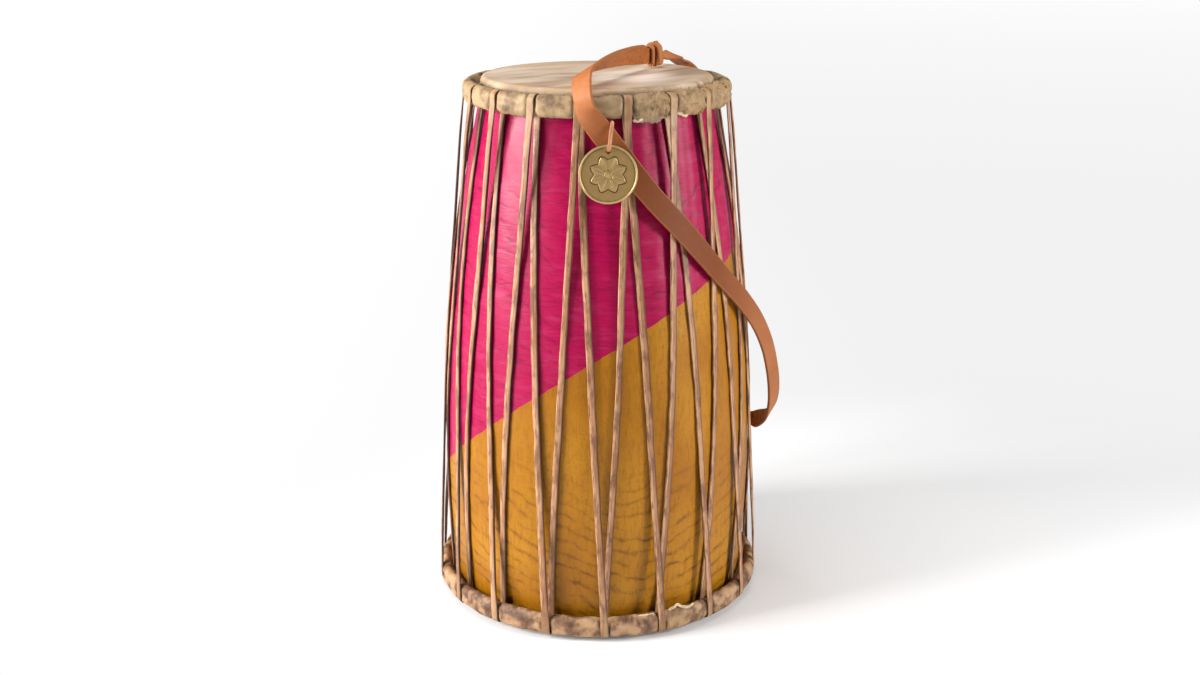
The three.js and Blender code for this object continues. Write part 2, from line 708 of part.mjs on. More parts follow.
// Up behind the strap, over its upper edge, down in front of it and of the medallion,
// back through the medallion's hole and round the strap's lower edge
function medallionThong() {
  const bend = tagThongDiameter;
  const edge = tagReach + strapClearance;
  const points = [
    bySection(-edge, -tagOff),
    bySection(0, -tagOff),
    bySection(edge, -tagOff),
    bySection(edge + bend / 2, 0),
    bySection(edge, tagOff),
    bySection(tagReach / 3, (tagOff + tagFront) / 2),
    bySection(medallionHoleInset - tagBelow + bend, tagFront),
    bySection(-tagBelow + bend / 2, tagFront),
    bySection(-tagBelow, medallionBack + medallionThickness),
    bySection(-tagBelow, medallionBack),
    bySection(-tagBelow - bend / 2, tagOff),
    bySection(-edge, tagOff),
    bySection(-edge - bend / 2, 0),
  ];
  return ringTube(points, tagSide, tagThongDiameter, tagThongSides);
}

// Medallion: a disc with a raised rim. Its hole rests on the thong, which is at this mesh's origin.
function medallion() {
  const radius = medallionDiameter / 2;
  const half = medallionThickness / 2;
  const field = radius - medallionRimWidth;
  const profile = [
    [0, -half],
    [radius - half / 2, -half],
    [radius, -half / 2],
    [radius, half / 2],
    [radius - half / 2, half],
    [field, half],
    [field - medallionRecess, half - medallionRecess],
    [0, half - medallionRecess],
  ];
  const disc = toSolid(revolve(profile));
  const drill = new THREE.CylinderGeometry(medallionHole / 2, medallionHole / 2, 2 * medallionThickness, 16);
  drill.rotateX(Math.PI / 2);
  const holeUp = radius - medallionHoleInset;
  const geometry = fromSolid(disc.subtract(toSolid(drill.translate(0, holeUp, 0))));
  const rest = medallionHole / 2 - tagThongDiameter / 2 - strapClearance;
  return geometry.translate(0, -holeUp - rest, 0);
}

function hangMedallion(mesh) {
  mesh.rotation.x = radians(90 - medallionLean);
  mesh.position.copy(medallionHang);
}

const group = new THREE.Group();

function addPiece(name, geometry, material) {
  const mesh = new THREE.Mesh(geometry, material);
  mesh.name = name;
  group.add(mesh);
  return mesh;
}

const lacing = lacingRoute();
const allTurns = Array.from({ length: laceCount }, (_, k) => k);
addPiece('drum_shell', drumShell(), paint);
addPiece('top_hoop', hoop(topEnd), cane);
addPiece('top_head', head(topEnd, allTurns.map(topTurn)), hide);
addPiece('bottom_hoop', hoop(bottomEnd), cane);
addPiece('bottom_head', head(bottomEnd, allTurns.map(bottomTurn)), hide);
addPiece('lacing_thong', band(lacingStations(lacing)), rawhide);
addPiece('lacing_knot', lacingKnot(lacing), rawhide);
addPiece('strap_front', strapLength(front.stations, lowEyePlace), leather);
addPiece('strap_back', strapLength(back.stations, highEyePlace), leather);
addPiece('strap_knot', strapKnot(), leather);
addPiece('medallion_thong', medallionThong(), paleLeather);
hangMedallion(addPiece('medallion', medallion(), brass));

console.log(`lacing: least gap to itself ${lacingSelfGap(lacingStations(lacing)).toFixed(2)} mm`);
console.log(`strap: ${front.length.toFixed(0)} mm and ${back.length.toFixed(0)} mm`);
console.log(`swing axis from ${lowEyePlace.centre.toArray()} along ${swingAxis.toArray()}`);
console.log(`medallion hangs at ${medallionHang.toArray()}`);

export default group;
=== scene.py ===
"""Looks of a mandar drum: a painted wooden barrel with two hide heads, thong lacing and a leather strap.

Shapes are worked out in millimetres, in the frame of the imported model: +Z up, the front of the drum
towards -Y, the origin at the centre of the bottom head. A turn is an angle in degrees from the front
towards +X. Meshes are written in metres.
"""

from __future__ import annotations

import logging
import math
from collections.abc import Callable
from dataclasses import dataclass, replace
from enum import Enum, IntEnum

import bpy
import numpy as np
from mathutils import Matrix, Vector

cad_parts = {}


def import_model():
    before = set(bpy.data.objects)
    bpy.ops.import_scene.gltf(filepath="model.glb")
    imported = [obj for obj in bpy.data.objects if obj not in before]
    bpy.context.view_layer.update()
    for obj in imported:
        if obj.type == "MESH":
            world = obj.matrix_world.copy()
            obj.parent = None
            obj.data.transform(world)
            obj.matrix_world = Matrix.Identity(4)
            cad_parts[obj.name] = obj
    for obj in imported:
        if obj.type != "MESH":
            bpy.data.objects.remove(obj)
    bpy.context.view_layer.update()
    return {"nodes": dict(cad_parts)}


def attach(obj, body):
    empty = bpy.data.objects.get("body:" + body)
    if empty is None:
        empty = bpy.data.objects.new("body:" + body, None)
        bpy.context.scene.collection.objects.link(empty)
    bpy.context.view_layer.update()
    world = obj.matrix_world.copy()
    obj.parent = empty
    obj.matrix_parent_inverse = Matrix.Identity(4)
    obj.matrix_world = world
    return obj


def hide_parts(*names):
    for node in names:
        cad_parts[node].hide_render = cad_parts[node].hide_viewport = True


log = logging.getLogger("mandar_drum")

MM = 0.001
UP = np.array([0, 0, 1.0])

Array = np.ndarray
Values = np.ndarray | float
Span = tuple[float, float]
Triple = tuple[float, float, float]
Layers = dict[str, np.ndarray]
Piece = bpy.types.Object
Material = bpy.types.Material
Socket = bpy.types.NodeSocket


class Body(Enum):
    """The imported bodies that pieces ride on."""

    DRUM = "drum"
    STRAP = "strap"
    MEDALLION = "medallion"


class Slot(Enum):
    """The record's material slots."""

    PAINT = "painted_wood"
    CANE = "cane"
    HIDE = "hide"
    RAWHIDE = "rawhide_thong"
    LEATHER = "strap_leather"
    PALE_LEATHER = "pale_leather"
    BRASS = "aged_brass"


class Seed(IntEnum):
    """Seeds of the irregular values."""

    TOOL_MARKS = 3
    GROOVE = 5
    RIM_WEAR = 6
    FRAY = 7
    DISH = 11
    LUMPS = 21
    FINE_LUMPS = 22
    HANG = 31
    TWIST = 41
    WANDER = 42
    WIDTH = 43
    THICKNESS = 44
    STRAP_WIDTH = 51
    STRAP_EDGE = 52
    CORD = 61


# Numbers

RIPPLE_PACE = 2.2
RIPPLE_FINER = 1.8
RIPPLE_FADE = 1.5
RIPPLE_GAIN = 1.6
LEAST_GAP = 1e-4


def linear(code: str) -> tuple[float, float, float, float]:
    """Turns an sRGB hex colour into linear red, green, blue and alpha.

    Args:
        code: the colour, such as "#c98a1e".

    Returns:
        The linear colour, with alpha 1.
    """
    channel = np.array([int(code[i:i + 2], 16) for i in (1, 3, 5)]) / 255
    flat = np.where(channel <= 0.04045, channel / 12.92, ((channel + 0.055) / 1.055) ** 2.4)
    return (*flat.tolist(), 1.0)


def per_metre(size_mm: float) -> float:
    """Texture scale whose features are about size_mm across."""
    return 1 / (size_mm * MM)


def smoothstep(value: Array, low: float, high: float) -> Array:
    """Rises from 0 at low to 1 at high with flat ends: 3t^2 - 2t^3."""
    t = np.clip((np.asarray(value, float) - low) / (high - low), 0, 1)
    return t * t * (3 - 2 * t)


def falling(value: Array, low: float, high: float) -> Array:
    """Falls from 1 at low to 0 at high with flat ends."""
    return smoothstep(-np.asarray(value, float), -high, -low)


def ripple(seed: int, *coords: Values, octaves: int = 5) -> Array:
    """Smooth irregular values of about -1 to 1: a sum of sines whose directions come from a seed.

    Args:
        seed: picks the directions and phases.
        coords: coordinates, in units of the coarsest feature.
        octaves: how many sines of rising frequency are added.

    Returns:
        An array of the coordinates' common shape.
    """
    draw = np.random.default_rng(seed)
    total = 0.0
    weight = 0.0
    for octave in range(octaves):
        direction = draw.normal(size=len(coords)) * RIPPLE_PACE * RIPPLE_FINER ** octave
        phase = draw.uniform(0, 2 * math.pi)
        share = RIPPLE_FADE ** -octave
        total = total + share * np.sin(sum(d * c for d, c in zip(direction, coords)) + phase)
        weight += share
    return total / weight * RIPPLE_GAIN


def round_ripple(seed: int, turn: Array, waves: float, *more: Values, octaves: int = 5) -> Array:
    """Irregular values round the axis, without a seam: ripple on a circle.

    Args:
        seed: picks the directions and phases.
        turn: turns in degrees.
        waves: the circle's radius, in units of the coarsest feature.
        more: further coordinates.
        octaves: how many sines are added.

    Returns:
        One value for each turn.
    """
    angle = np.radians(turn)
    return ripple(seed, np.cos(angle) * waves, np.sin(angle) * waves, *more, octaves=octaves)


def around(turn: Array, radius: Array, height: Array) -> Array:
    """Points at a turn, radius and height: x = r sin t, y = -r cos t, z = h.

    Args:
        turn: turns in degrees.
        radius: distances from the axis.
        height: heights.

    Returns:
        Points in the last axis of the arguments' common shape.
    """
    angle = np.radians(turn)
    parts = np.broadcast_arrays(radius * np.sin(angle), -radius * np.cos(angle), height)
    return np.stack(parts, axis=-1).astype(float)


def unit(vectors: Array) -> Array:
    """Vectors of length 1 along the last axis."""
    return vectors / np.linalg.norm(vectors, axis=-1, keepdims=True)


def headings(points: Array) -> Array:
    """Unit directions along a row of points, by central differences."""
    return unit(np.gradient(points, axis=0))


def distance_along(points: Array) -> Array:
    """Distance run along a row of points, at each of them."""
    return np.concatenate([[0], np.cumsum(np.linalg.norm(np.diff(points, axis=0), axis=1))])


def spline(knots: Array, at: Array) -> Array:
    """Centripetal Catmull-Rom curve through knots.

    Between two knots it is the Hermite cubic whose end slopes are those of the parabola through three
    neighbouring knots, spaced by the square root of their distance.

    Args:
        knots: rows of coordinates, two or more.
        at: parameters from 0 at the first knot to 1 at the last.

    Returns:
        One row of coordinates for each parameter.
    """
    first = 2 * knots[0] - knots[1]
    last = 2 * knots[-1] - knots[-2]
    rows = np.concatenate([[first], knots, [last]])
    place = np.clip(at, 0, 1) * (len(knots) - 1)
    i = np.minimum(place.astype(int), len(knots) - 2)
    t = (place - i)[:, None]
    a, b, c, d = rows[i], rows[i + 1], rows[i + 2], rows[i + 3]
    gap = np.maximum(np.sqrt(np.linalg.norm(np.diff(rows, axis=0), axis=1)), LEAST_GAP)
    before, here, after = gap[i][:, None], gap[i + 1][:, None], gap[i + 2][:, None]
    start = ((b - a) / before - (c - a) / (before + here) + (c - b) / here) * here
    end = ((c - b) / here - (d - b) / (here + after) + (d - c) / after) * here
    cubic = (2 * b - 2 * c + start + end) * t ** 3 + (3 * c - 3 * b - 2 * start - end) * t ** 2
    return cubic + start * t + b


def evenly(points: Array, spacing: float) -> tuple[Array, Array]:
    """Parameters of points that are evenly spaced along a fine polyline.

    Args:
        points: the polyline.
        spacing: the wanted distance between points.

    Returns:
        Parameters from 0 to 1 on the polyline's own rows, and the distance run at each.
    """
    run = distance_along(points)
    distance = np.linspace(0, run[-1], max(2, round(run[-1] / spacing) + 1))
    return np.interp(distance, run, np.linspace(0, 1, len(points))), distance


# Meshes

BESIDE_CORNER = 0.95


def add_piece(name: str, points: Array, faces: list[tuple[int, ...]], layers: Layers | None = None) -> Piece:
    """Makes an object at the origin from points in millimetres.

    Args:
        name: the piece's name.
        points: vertices, one row each.
        faces: vertex numbers of each face.
        layers: named values, one for each vertex.

    Returns:
        The new object, shaded smooth.
    """
    mesh = bpy.data.meshes.new(name)
    mesh.from_pydata((points * MM).tolist(), [], faces)
    for key, values in (layers or {}).items():
        layer = mesh.attributes.new(key, "FLOAT", "POINT")
        layer.data.foreach_set("value", np.ascontiguousarray(values, np.float32).ravel())
    mesh.polygons.foreach_set("use_smooth", np.ones(len(mesh.polygons), bool))
    mesh.update()
    piece = bpy.data.objects.new(name, mesh)
    bpy.context.scene.collection.objects.link(piece)
    return piece


def grid_faces(rows: int, cols: int, is_loop: bool) -> Array:
    """Quads of a grid of vertices that are numbered row by row. Its columns close on themselves.

    Args:
        rows: the number of rows.
        cols: the number of columns.
        is_loop: whether the last row joins the first.

    Returns:
        Vertex numbers, four for each quad.
    """
    index = np.arange(rows * cols).reshape(rows, cols)
    index = np.concatenate([index, index[:1]]) if is_loop else index
    index = np.concatenate([index, index[:, :1]], axis=1)
    corners = [index[:-1, :-1], index[:-1, 1:], index[1:, 1:], index[1:, :-1]]
    return np.stack(corners, axis=-1).reshape(-1, 4)


def turned_piece(name: str, grid: Array, layers: Layers) -> Piece:
    """A closed surface of rows of points round an axis. The first and the last row are poles.

    Args:
        name: the piece's name.
        grid: points in millimetres, rows by columns by 3. Columns close on themselves.
        layers: named values on the grid.

    Returns:
        The new object.
    """
    rows, cols = grid.shape[:2]
    number = np.arange(rows * cols)
    number[:cols] = 0
    number[-cols:] = number[-cols]
    _, keep, compact = np.unique(number, return_index=True, return_inverse=True)
    faces = [tuple(dict.fromkeys(quad)) for quad in compact[grid_faces(rows, cols, False)].tolist()]
    values = {key: np.broadcast_to(value, (rows, cols)).reshape(-1)[keep] for key, value in layers.items()}
    return add_piece(name, grid.reshape(-1, 3)[keep], faces, values)


def swept_piece(name: str, grid: Array, layers: Layers, is_loop: bool = False) -> Piece:
    """A section carried along a path, which closes on itself or has a flat face at each end.

    Args:
        name: the piece's name.
        grid: points in millimetres, stations by section points by 3.
        layers: named values on the grid.
        is_loop: whether the last station joins the first.

    Returns:
        The new object.
    """
    rows, cols = grid.shape[:2]
    faces = grid_faces(rows, cols, is_loop).tolist()
    if not is_loop:
        faces.append(list(range(cols))[::-1])
        faces.append(list(range((rows - 1) * cols, rows * cols)))
    values = {key: np.broadcast_to(value, (rows, cols)) for key, value in layers.items()}
    return add_piece(name, grid.reshape(-1, 3), faces, values)


@dataclass(frozen=True)
class FlatSection:
    """A rounded rectangle that is carried along a strap or a thong.

    side and rise say which way each point lies from the middle, lean_side and lean_rise which way it is
    rounded off, so that the corners keep their radius at any width.
    """

    side: Array
    rise: Array
    lean_side: Array
    lean_rise: Array

    @classmethod
    def make(cls, across: int, corner: int) -> FlatSection:
        """Makes a section.

        Args:
            across: points along each flat face, apart from one beside each corner.
            corner: points in each rounded corner.

        Returns:
            The section, in order round its outline.
        """
        flat = np.concatenate([[-BESIDE_CORNER], np.linspace(-1, 1, across + 2)[1:-1], [BESIDE_CORNER]])
        arc = np.radians(np.linspace(0, 90, corner))
        parts = []
        for quarter in range(4):
            angle = arc + math.radians(90 * quarter - 90)
            sign_side = 1 if quarter in (0, 1) else -1
            sign_rise = 1 if quarter in (1, 2) else -1
            ones = np.ones(corner)
            parts.append([sign_side * ones, sign_rise * ones, np.cos(angle), np.sin(angle)])
            if quarter in (1, 3):
                run = -flat if quarter == 1 else flat
                rise = np.full(len(flat), float(sign_rise))
                parts.append([run, rise, np.zeros(len(flat)), rise])
        return cls(*np.concatenate([np.stack(part) for part in parts], axis=1))

    def carry(
        self, at: Array, across: Array, face: Array, width: Values, thickness: Values, corner: float
    ) -> Array:
        """Carries the section along a path.

        Each point is the path's point, plus the way across times its share of half the width, plus the
        face's way times its share of half the thickness, with corners of one radius.

        Args:
            at: the path, one row for each station.
            across: unit vectors across the band.
            face: unit vectors out of its face.
            width: the band's width at each station.
            thickness: its thickness at each station.
            corner: the corners' radius.

        Returns:
            Stations by section points by 3.
        """
        half_width = np.broadcast_to(width, len(at))[:, None] / 2 - corner
        half_thickness = np.broadcast_to(thickness, len(at))[:, None] / 2 - corner
        out = self.side * half_width + corner * self.lean_side
        up = self.rise * half_thickness + corner * self.lean_rise
        return at[:, None] + out[..., None] * across[:, None] + up[..., None] * face[:, None]

    def layers(self, run: Array) -> Layers:
        """The place on a band: millimetres along it, and shares of its width and thickness from -1 to 1."""
        return {"along": run[:, None], "across": self.side[None], "rise": self.rise[None]}


# Finishes

TIMES = {"operation": "MULTIPLY"}
TIMES_PLUS = {"operation": "MULTIPLY_ADD"}
MOST = {"operation": "MAXIMUM"}
COLOUR = {"out": 2, "data_type": "RGBA"}
LAYER = {"kind": "Attribute", "out": "Fac"}
SOFT = {"interpolation_type": "SMOOTHSTEP"}
EVEN = (1.0, 1.0, 1.0)
LEVEL = (0.1, 0.1, 1.0)
ORGANIC_IOR = 1.48


class Shade:
    """The nodes of a material or of the world, under construction."""

    def __init__(self, holder: Material | bpy.types.World) -> None:
        """Starts with no nodes.

        Args:
            holder: the material or the world that gets them.
        """
        holder.use_nodes = True
        self.holder = holder
        self.tree = holder.node_tree
        self.tree.nodes.clear()

    def add(
        self, kind: str, inputs: dict | tuple = (), out: int | str = 0, **settings: str
    ) -> Socket | None:
        """Adds a node with its settings and links.

        Args:
            kind: the node's type, without the prefix ShaderNode.
            inputs: values, hex colours or other nodes' outputs, by socket or in the sockets' order.
            out: which of its outputs is wanted.
            settings: the node's own properties.

        Returns:
            The output socket, or nothing for a node that has none.
        """
        made = self.tree.nodes.new("ShaderNode" + kind)
        for key, value in settings.items():
            setattr(made, key, value)
        for key, value in (inputs.items() if isinstance(inputs, dict) else enumerate(inputs)):
            if isinstance(value, Socket):
                self.tree.links.new(value, made.inputs[key])
            else:
                made.inputs[key].default_value = linear(value) if isinstance(value, str) else value
        return made.outputs[out] if len(made.outputs) else None

    def coats(self, base: str | Socket, *rows: tuple) -> Socket:
        """Lays coats of colour one over another.

        Args:
            base: the colour under them.
            rows: for each coat its pattern, where that starts and where it is full, the most that it
                covers, and its colour.

        Returns:
            The colour of all.
        """
        for pattern, start, full, most, tint in rows:
            share = self.add("MapRange", (pattern, start, full, 0, most))
            base = self.add("Mix", {0: share, 6: base, 7: tint}, **COLOUR)
        return base

    def surface(
        self, colour: Socket, ridge: Socket, strength: float, depth: float, sockets: dict
    ) -> Material:
        """Ends a material in its shader.

        Args:
            colour: its colour.
            ridge: heights of its fine relief, from 0 to 1.
            strength: how much of the relief shows.
            depth: the relief's depth in millimetres.
            sockets: the shader's other sockets.

        Returns:
            The material.
        """
        normal = self.add("Bump", {"Height": ridge, "Strength": strength, "Distance": depth * MM})
        shader = self.add("BsdfPrincipled", {"Base Color": colour, "Normal": normal} | sockets)
        self.add("OutputMaterial", {"Surface": shader})
        return self.holder


@dataclass(frozen=True)
class PaintedWood:
    """Two coats of thin satin paint on a hollowed log.

    The magenta is deep. It takes broad pale sheens from the lights and shows fine level grain, faint brush
    marks, dark specks and a few level cracks. The ochre lets the wood through: upright veins, specks and,
    near the foot, growth lines in nested arcs. The layer above_line gives the height over the magenta's
    edge. Sizes and heights are in millimetres.
    """

    magenta: str = "#a80346"
    magenta_deep: str = "#78002e"
    brush_mark: str = "#df6f9f"
    ochre: str = "#a2670c"
    ochre_light: str = "#b27816"
    ochre_deep: str = "#86500a"
    growth: str = "#6e4210"
    growth_spacing: float = 13.0
    growth_middle: float = 35.0
    growth_slope: float = 0.42
    growth_bend: float = 22.0
    growth_full: float = 100.0
    growth_none: float = 180.0
    growth_most: float = 0.85
    edge_wander: float = 4.0
    roughness: float = 0.33
    specular: float = 0.24

    def make(self) -> Material:
        """Builds the material.

        The growth lines are the crests of a sine of height, less a slope times the hyperbola
        sqrt(x^2 + bend^2), which gives them their arcs, plus three noises, which make them wander.

        Returns:
            The material.
        """
        s = Shade(bpy.data.materials.new("painted_hardwood"))
        add = s.add
        place = add("TexCoord", out="Object")
        side, height = (add("SeparateXYZ", (place,), out=axis) for axis in (0, 2))
        # Noises: how each is drawn out, its size, its detail and its roughness
        broad, cloud, middle, rare, broken, speck, grain, vein, brush = (
            add("TexNoise", {
                "Vector": add("VectorMath", (place, drawn), **TIMES), "Scale": per_metre(size),
                "Detail": detail, "Roughness": rough,
            })
            for drawn, size, detail, rough in (
                (EVEN, 90, 1, 0.5), (EVEN, 28, 4, 0.5), (EVEN, 13, 3, 0.5), (EVEN, 24, 2, 0.5),
                (EVEN, 20, 3, 0.7), (EVEN, 2.4, 2, 0.7), (LEVEL, 1.5, 4, 0.6), ((1, 1, 0.2), 2.6, 3, 0.6),
                ((0.2, 0.2, 1), 7, 4, 0.6),
            )
        )
        side = add("Math", (side, self.growth_middle * MM), operation="SUBTRACT")
        reach = add("Math", (side, side, (self.growth_bend * MM) ** 2), **TIMES_PLUS)
        reach = add("Math", (reach,), operation="SQRT")
        wander = add("Math", (reach, -self.growth_slope, height), **TIMES_PLUS)
        for noise, size in ((broad, 40), (cloud, 14), (middle, 9)):
            wander = add("Math", (noise, size * MM, wander), **TIMES_PLUS)
        turns = add("Math", (wander, 2 * math.pi * per_metre(self.growth_spacing)), **TIMES)
        wave = add("Math", (turns,), operation="SINE")
        # Each line has a soft band beside its dark crest, and is broken here and there
        band = add("MapRange", (wave, 0.1, 1.0, 0, 0.45))
        line = add("MapRange", (wave, 0.72, 0.97, 0, 0.55))
        line = add("Math", (line, band), operation="ADD")
        line = add("Math", (line, add("MapRange", (broken, 0.4, 0.6, 0, 1))), **TIMES)
        low = add("MapRange", (height, self.growth_full * MM, self.growth_none * MM, self.growth_most, 0))
        growth = add("Math", (line, low), **TIMES)
        crack = add("Math", (line, add("MapRange", (rare, 0.5, 0.6, 0, 0.75))), **TIMES)
        red = s.coats(
            self.magenta,
            (grain, 0.48, 0.66, 0.55, self.magenta_deep),
            (brush, 0.52, 0.74, 0.12, self.brush_mark),
            (speck, 0.665, 0.72, 0.6, self.magenta_deep),
            (crack, 0, 1, 1, self.magenta_deep),
        )
        # The magenta ends along one hand-cut edge, which wanders a little
        edge = add(**LAYER, attribute_name="above_line")
        above = add("Math", (middle, self.edge_wander, edge), **TIMES_PLUS)
        colour = s.coats(
            self.ochre,
            (broad, 0.4, 0.62, 1, self.ochre_light),
            (vein, 0.5, 0.66, 0.42, self.ochre_deep),
            (grain, 0.52, 0.66, 0.12, self.ochre_deep),
            (speck, 0.58, 0.68, 0.5, self.ochre_deep),
            (growth, 0, 1, 1, self.growth),
            (above, 1.6, 2.4, 1, red),
        )
        ridge = add("Math", (line, -0.8, grain), **TIMES_PLUS)
        ridge = add("Math", (vein, 0.4, ridge), **TIMES_PLUS)
        rough = add("MapRange", (cloud, 0.3, 0.7, self.roughness, self.roughness + 0.12))
        sockets = {"Roughness": rough, "IOR": ORGANIC_IOR, "Specular IOR Level": self.specular}
        return s.surface(colour, ridge, 0.4, 0.3, sockets)


@dataclass(frozen=True)
class ScrapedHide:
    """Raw hide, scraped and dried: clouded and streaked where stretched, blotched and wrinkled where rolled.

    The layer rolled is 1 on the rolled edge, rim is 1 on the pale edge of the disc, and torn is 1 where dry
    fibres show. One more layer carries painted shade, up to 1 in the groove, the lace holes, the slits and
    under the rolled edge, where it darkens the hide. A pale patch by the strap is a painted sheen.
    """

    name: str
    pale: str
    middle: str
    dark: str
    rim: str
    roll_pale: str
    roll_middle: str
    roll_dark: str
    # Near-black brown for painted shade in the groove, the lace holes, the slits and under the rolled edge
    painted_shade_colour: str = "#2c1d10"
    torn_pale: str = "#aa8a60"
    torn_dark: str = "#735435"
    # Pale patch on the top disc beside the strap: a painted sheen, standing in for a reflection
    scraped: str = "#efe3d6"
    painted_sheen_place: Triple = (0.03, -0.02, 0.49)
    painted_sheen_reach: Span = (0.012, 0.055)
    blotch: float = 16.0
    hair_turn: float = -38.0
    roughness: float = 0.6

    def make(self) -> Material:
        """Builds the material.

        Returns:
            The material.
        """
        s = Shade(bpy.data.materials.new(self.name))
        add = s.add
        place = add("TexCoord", out="Object")
        rim, rolled, painted_shade, torn = (
            add(**LAYER, attribute_name=name) for name in ("rim", "rolled", "painted_shade", "torn")
        )
        # The hair grew one way, in slight bends: stains and streaks are drawn out along it
        bent = add("TexNoise", {"Vector": place, "Scale": per_metre(90), "Detail": 1.0}, out="Color")
        bent = add("VectorMath", (bent, (0.03, 0.05, 0), place), **TIMES_PLUS)
        bent = add("Mapping", {"Vector": bent, "Rotation": (0, 0, math.radians(self.hair_turn))})
        # Noises: the place that each reads, how it is drawn out, its size, its detail and its roughness
        stain, patch, hair, cloud, wrinkle, fleck = (
            add("TexNoise", {
                "Vector": add("VectorMath", (where, drawn), **TIMES), "Scale": per_metre(size),
                "Detail": detail, "Roughness": rough,
            })
            for where, drawn, size, detail, rough in (
                (bent, (0.3, 1, 1), 34, 3, 0.5), (bent, (0.3, 1, 1), 44, 3, 0.5),
                (bent, (0.08, 1, 1), 4, 4, 0.5), (place, EVEN, self.blotch, 3, 0.5),
                (place, (1, 1, 0.55), 5, 4, 0.6), (place, EVEN, 1.8, 2, 0.7),
            )
        )
        # Painted sheen: a pale patch round one place on the disc, broken up by the stains
        away = add("VectorMath", (place, self.painted_sheen_place), out="Value", operation="DISTANCE")
        bare = add("MapRange", (away, *self.painted_sheen_reach, 0.95, 0), **SOFT)
        bare = add("Math", (bare, add("MapRange", (stain, 0.3, 0.6, 0.3, 1))), **TIMES)
        blotch = add("Math", (wrinkle, 0.5, add("Math", (cloud, 0.6), **TIMES)), **TIMES_PLUS)
        fibres = s.coats(
            self.torn_pale,
            (wrinkle, 0.42, 0.7, 0.65, self.torn_dark),
            (fleck, 0.59, 0.67, 0.75, self.roll_dark),
        )
        roll = s.coats(
            self.roll_pale,
            (cloud, 0.36, 0.56, 1, self.roll_middle),
            (blotch, 0.52, 0.68, 0.85, self.roll_dark),
            (fleck, 0.66, 0.74, 0.4, self.roll_dark),
            (torn, 0, 1, 0.8, fibres),
        )
        colour = s.coats(
            self.dark,
            (stain, 0.38, 0.62, 1, self.middle),
            (patch, 0.47, 0.66, 1, self.pale),
            (hair, 0.5, 0.7, 0.16, self.dark),
            # painted sheen
            (bare, 0, 1, 1, self.scraped),
            (rim, 0, 1, 1, self.rim),
            (rolled, 0, 1, 1, roll),
            # Painted shade: the groove, the lace holes, the slits and the underside of the rolled edge are
            # darkened
            (painted_shade, 0, 1, 0.9, self.painted_shade_colour),
        )
        ridge = add("Math", (hair, 0.25, wrinkle), **TIMES_PLUS)
        sockets = {"Roughness": self.roughness, "IOR": ORGANIC_IOR}
        return s.surface(colour, ridge, 0.5, 0.5, sockets)


@dataclass(frozen=True)
class Thong:
    """A strip of rawhide streaked by its fibres, with painted highlight and shade along its two sides.

    The layers along, across and rise give the place on the strip: millimetres, and shares of its width
    and thickness from -1 to 1. The layer weather is 1 where it has taken the rolled edge's colour. Shade is
    painted along the side and edge with across below 0, and on the face with rise below 0, which on the
    lacing is the face towards the drum.
    """

    name: str = "rawhide_strip"
    body: str = "#9a6945"
    rubbed_and_lit: str = "#d4a47c"
    brown_and_shade: str = "#673f29"
    edge: str = "#38200f"
    weathered: str = "#ab8d66"
    roughness: float = 0.5

    def make(self) -> Material:
        """Builds the material.

        Returns:
            The material.
        """
        s = Shade(bpy.data.materials.new(self.name))
        add = s.add
        place = add("TexCoord", out="Object")
        along, across, rise, weather = (
            add(**LAYER, attribute_name=name) for name in ("along", "across", "rise", "weather")
        )
        # Fibres run the whole length: about 17 mm long and a fifth of the width across
        ribbon = add("CombineXYZ", (along, across, rise))
        ribbon = add("VectorMath", (ribbon, (0.06, 2.5, 1.2)), **TIMES)
        fibre = add("TexNoise", {"Vector": ribbon, "Scale": 1.0, "Detail": 4.0, "Roughness": 0.6})
        length = add("TexNoise", {"Vector": place, "Scale": per_metre(40), "Detail": 4.0})
        drawn = add("VectorMath", (place, (1.0, 1.0, 0.4)), **TIMES)
        stain = add("TexNoise", {"Vector": drawn, "Scale": per_metre(8), "Detail": 3.0, "Roughness": 0.6})
        # Painted highlight along the side with across above 0, broken up by the fibres
        lit = add("MapRange", (across, 0.25, 0.5, 0, 0.8))
        lit = add("Math", (lit, add("MapRange", (fibre, 0.62, 0.42, 0, 1))), **TIMES)
        worn = s.coats(self.weathered, (stain, 0.42, 0.62, 0.7, self.body))
        colour = s.coats(
            self.body,
            (length, 0.4, 0.64, 0.5, self.rubbed_and_lit),
            (fibre, 0.5, 0.68, 0.7, self.brown_and_shade),
            # painted highlight on the lit side
            (lit, 0, 1, 1, self.rubbed_and_lit),
            # painted shade along the other side
            (across, -0.5, -0.85, 0.7, self.brown_and_shade),
            (stain, 0.5, 0.64, 0.7, self.brown_and_shade),
            # painted shade along that side's edge
            (across, -0.93, -1.0, 0.8, self.edge),
            (weather, 0, 1, 0.85, worn),
            # painted shade on the face with rise below 0
            (rise, -0.1, -0.9, 0.8, self.edge),
        )
        ridge = add("Math", (stain, 0.5, fibre), **TIMES_PLUS)
        sockets = {"Roughness": self.roughness, "IOR": ORGANIC_IOR}
        return s.surface(colour, ridge, 0.5, 0.4, sockets)


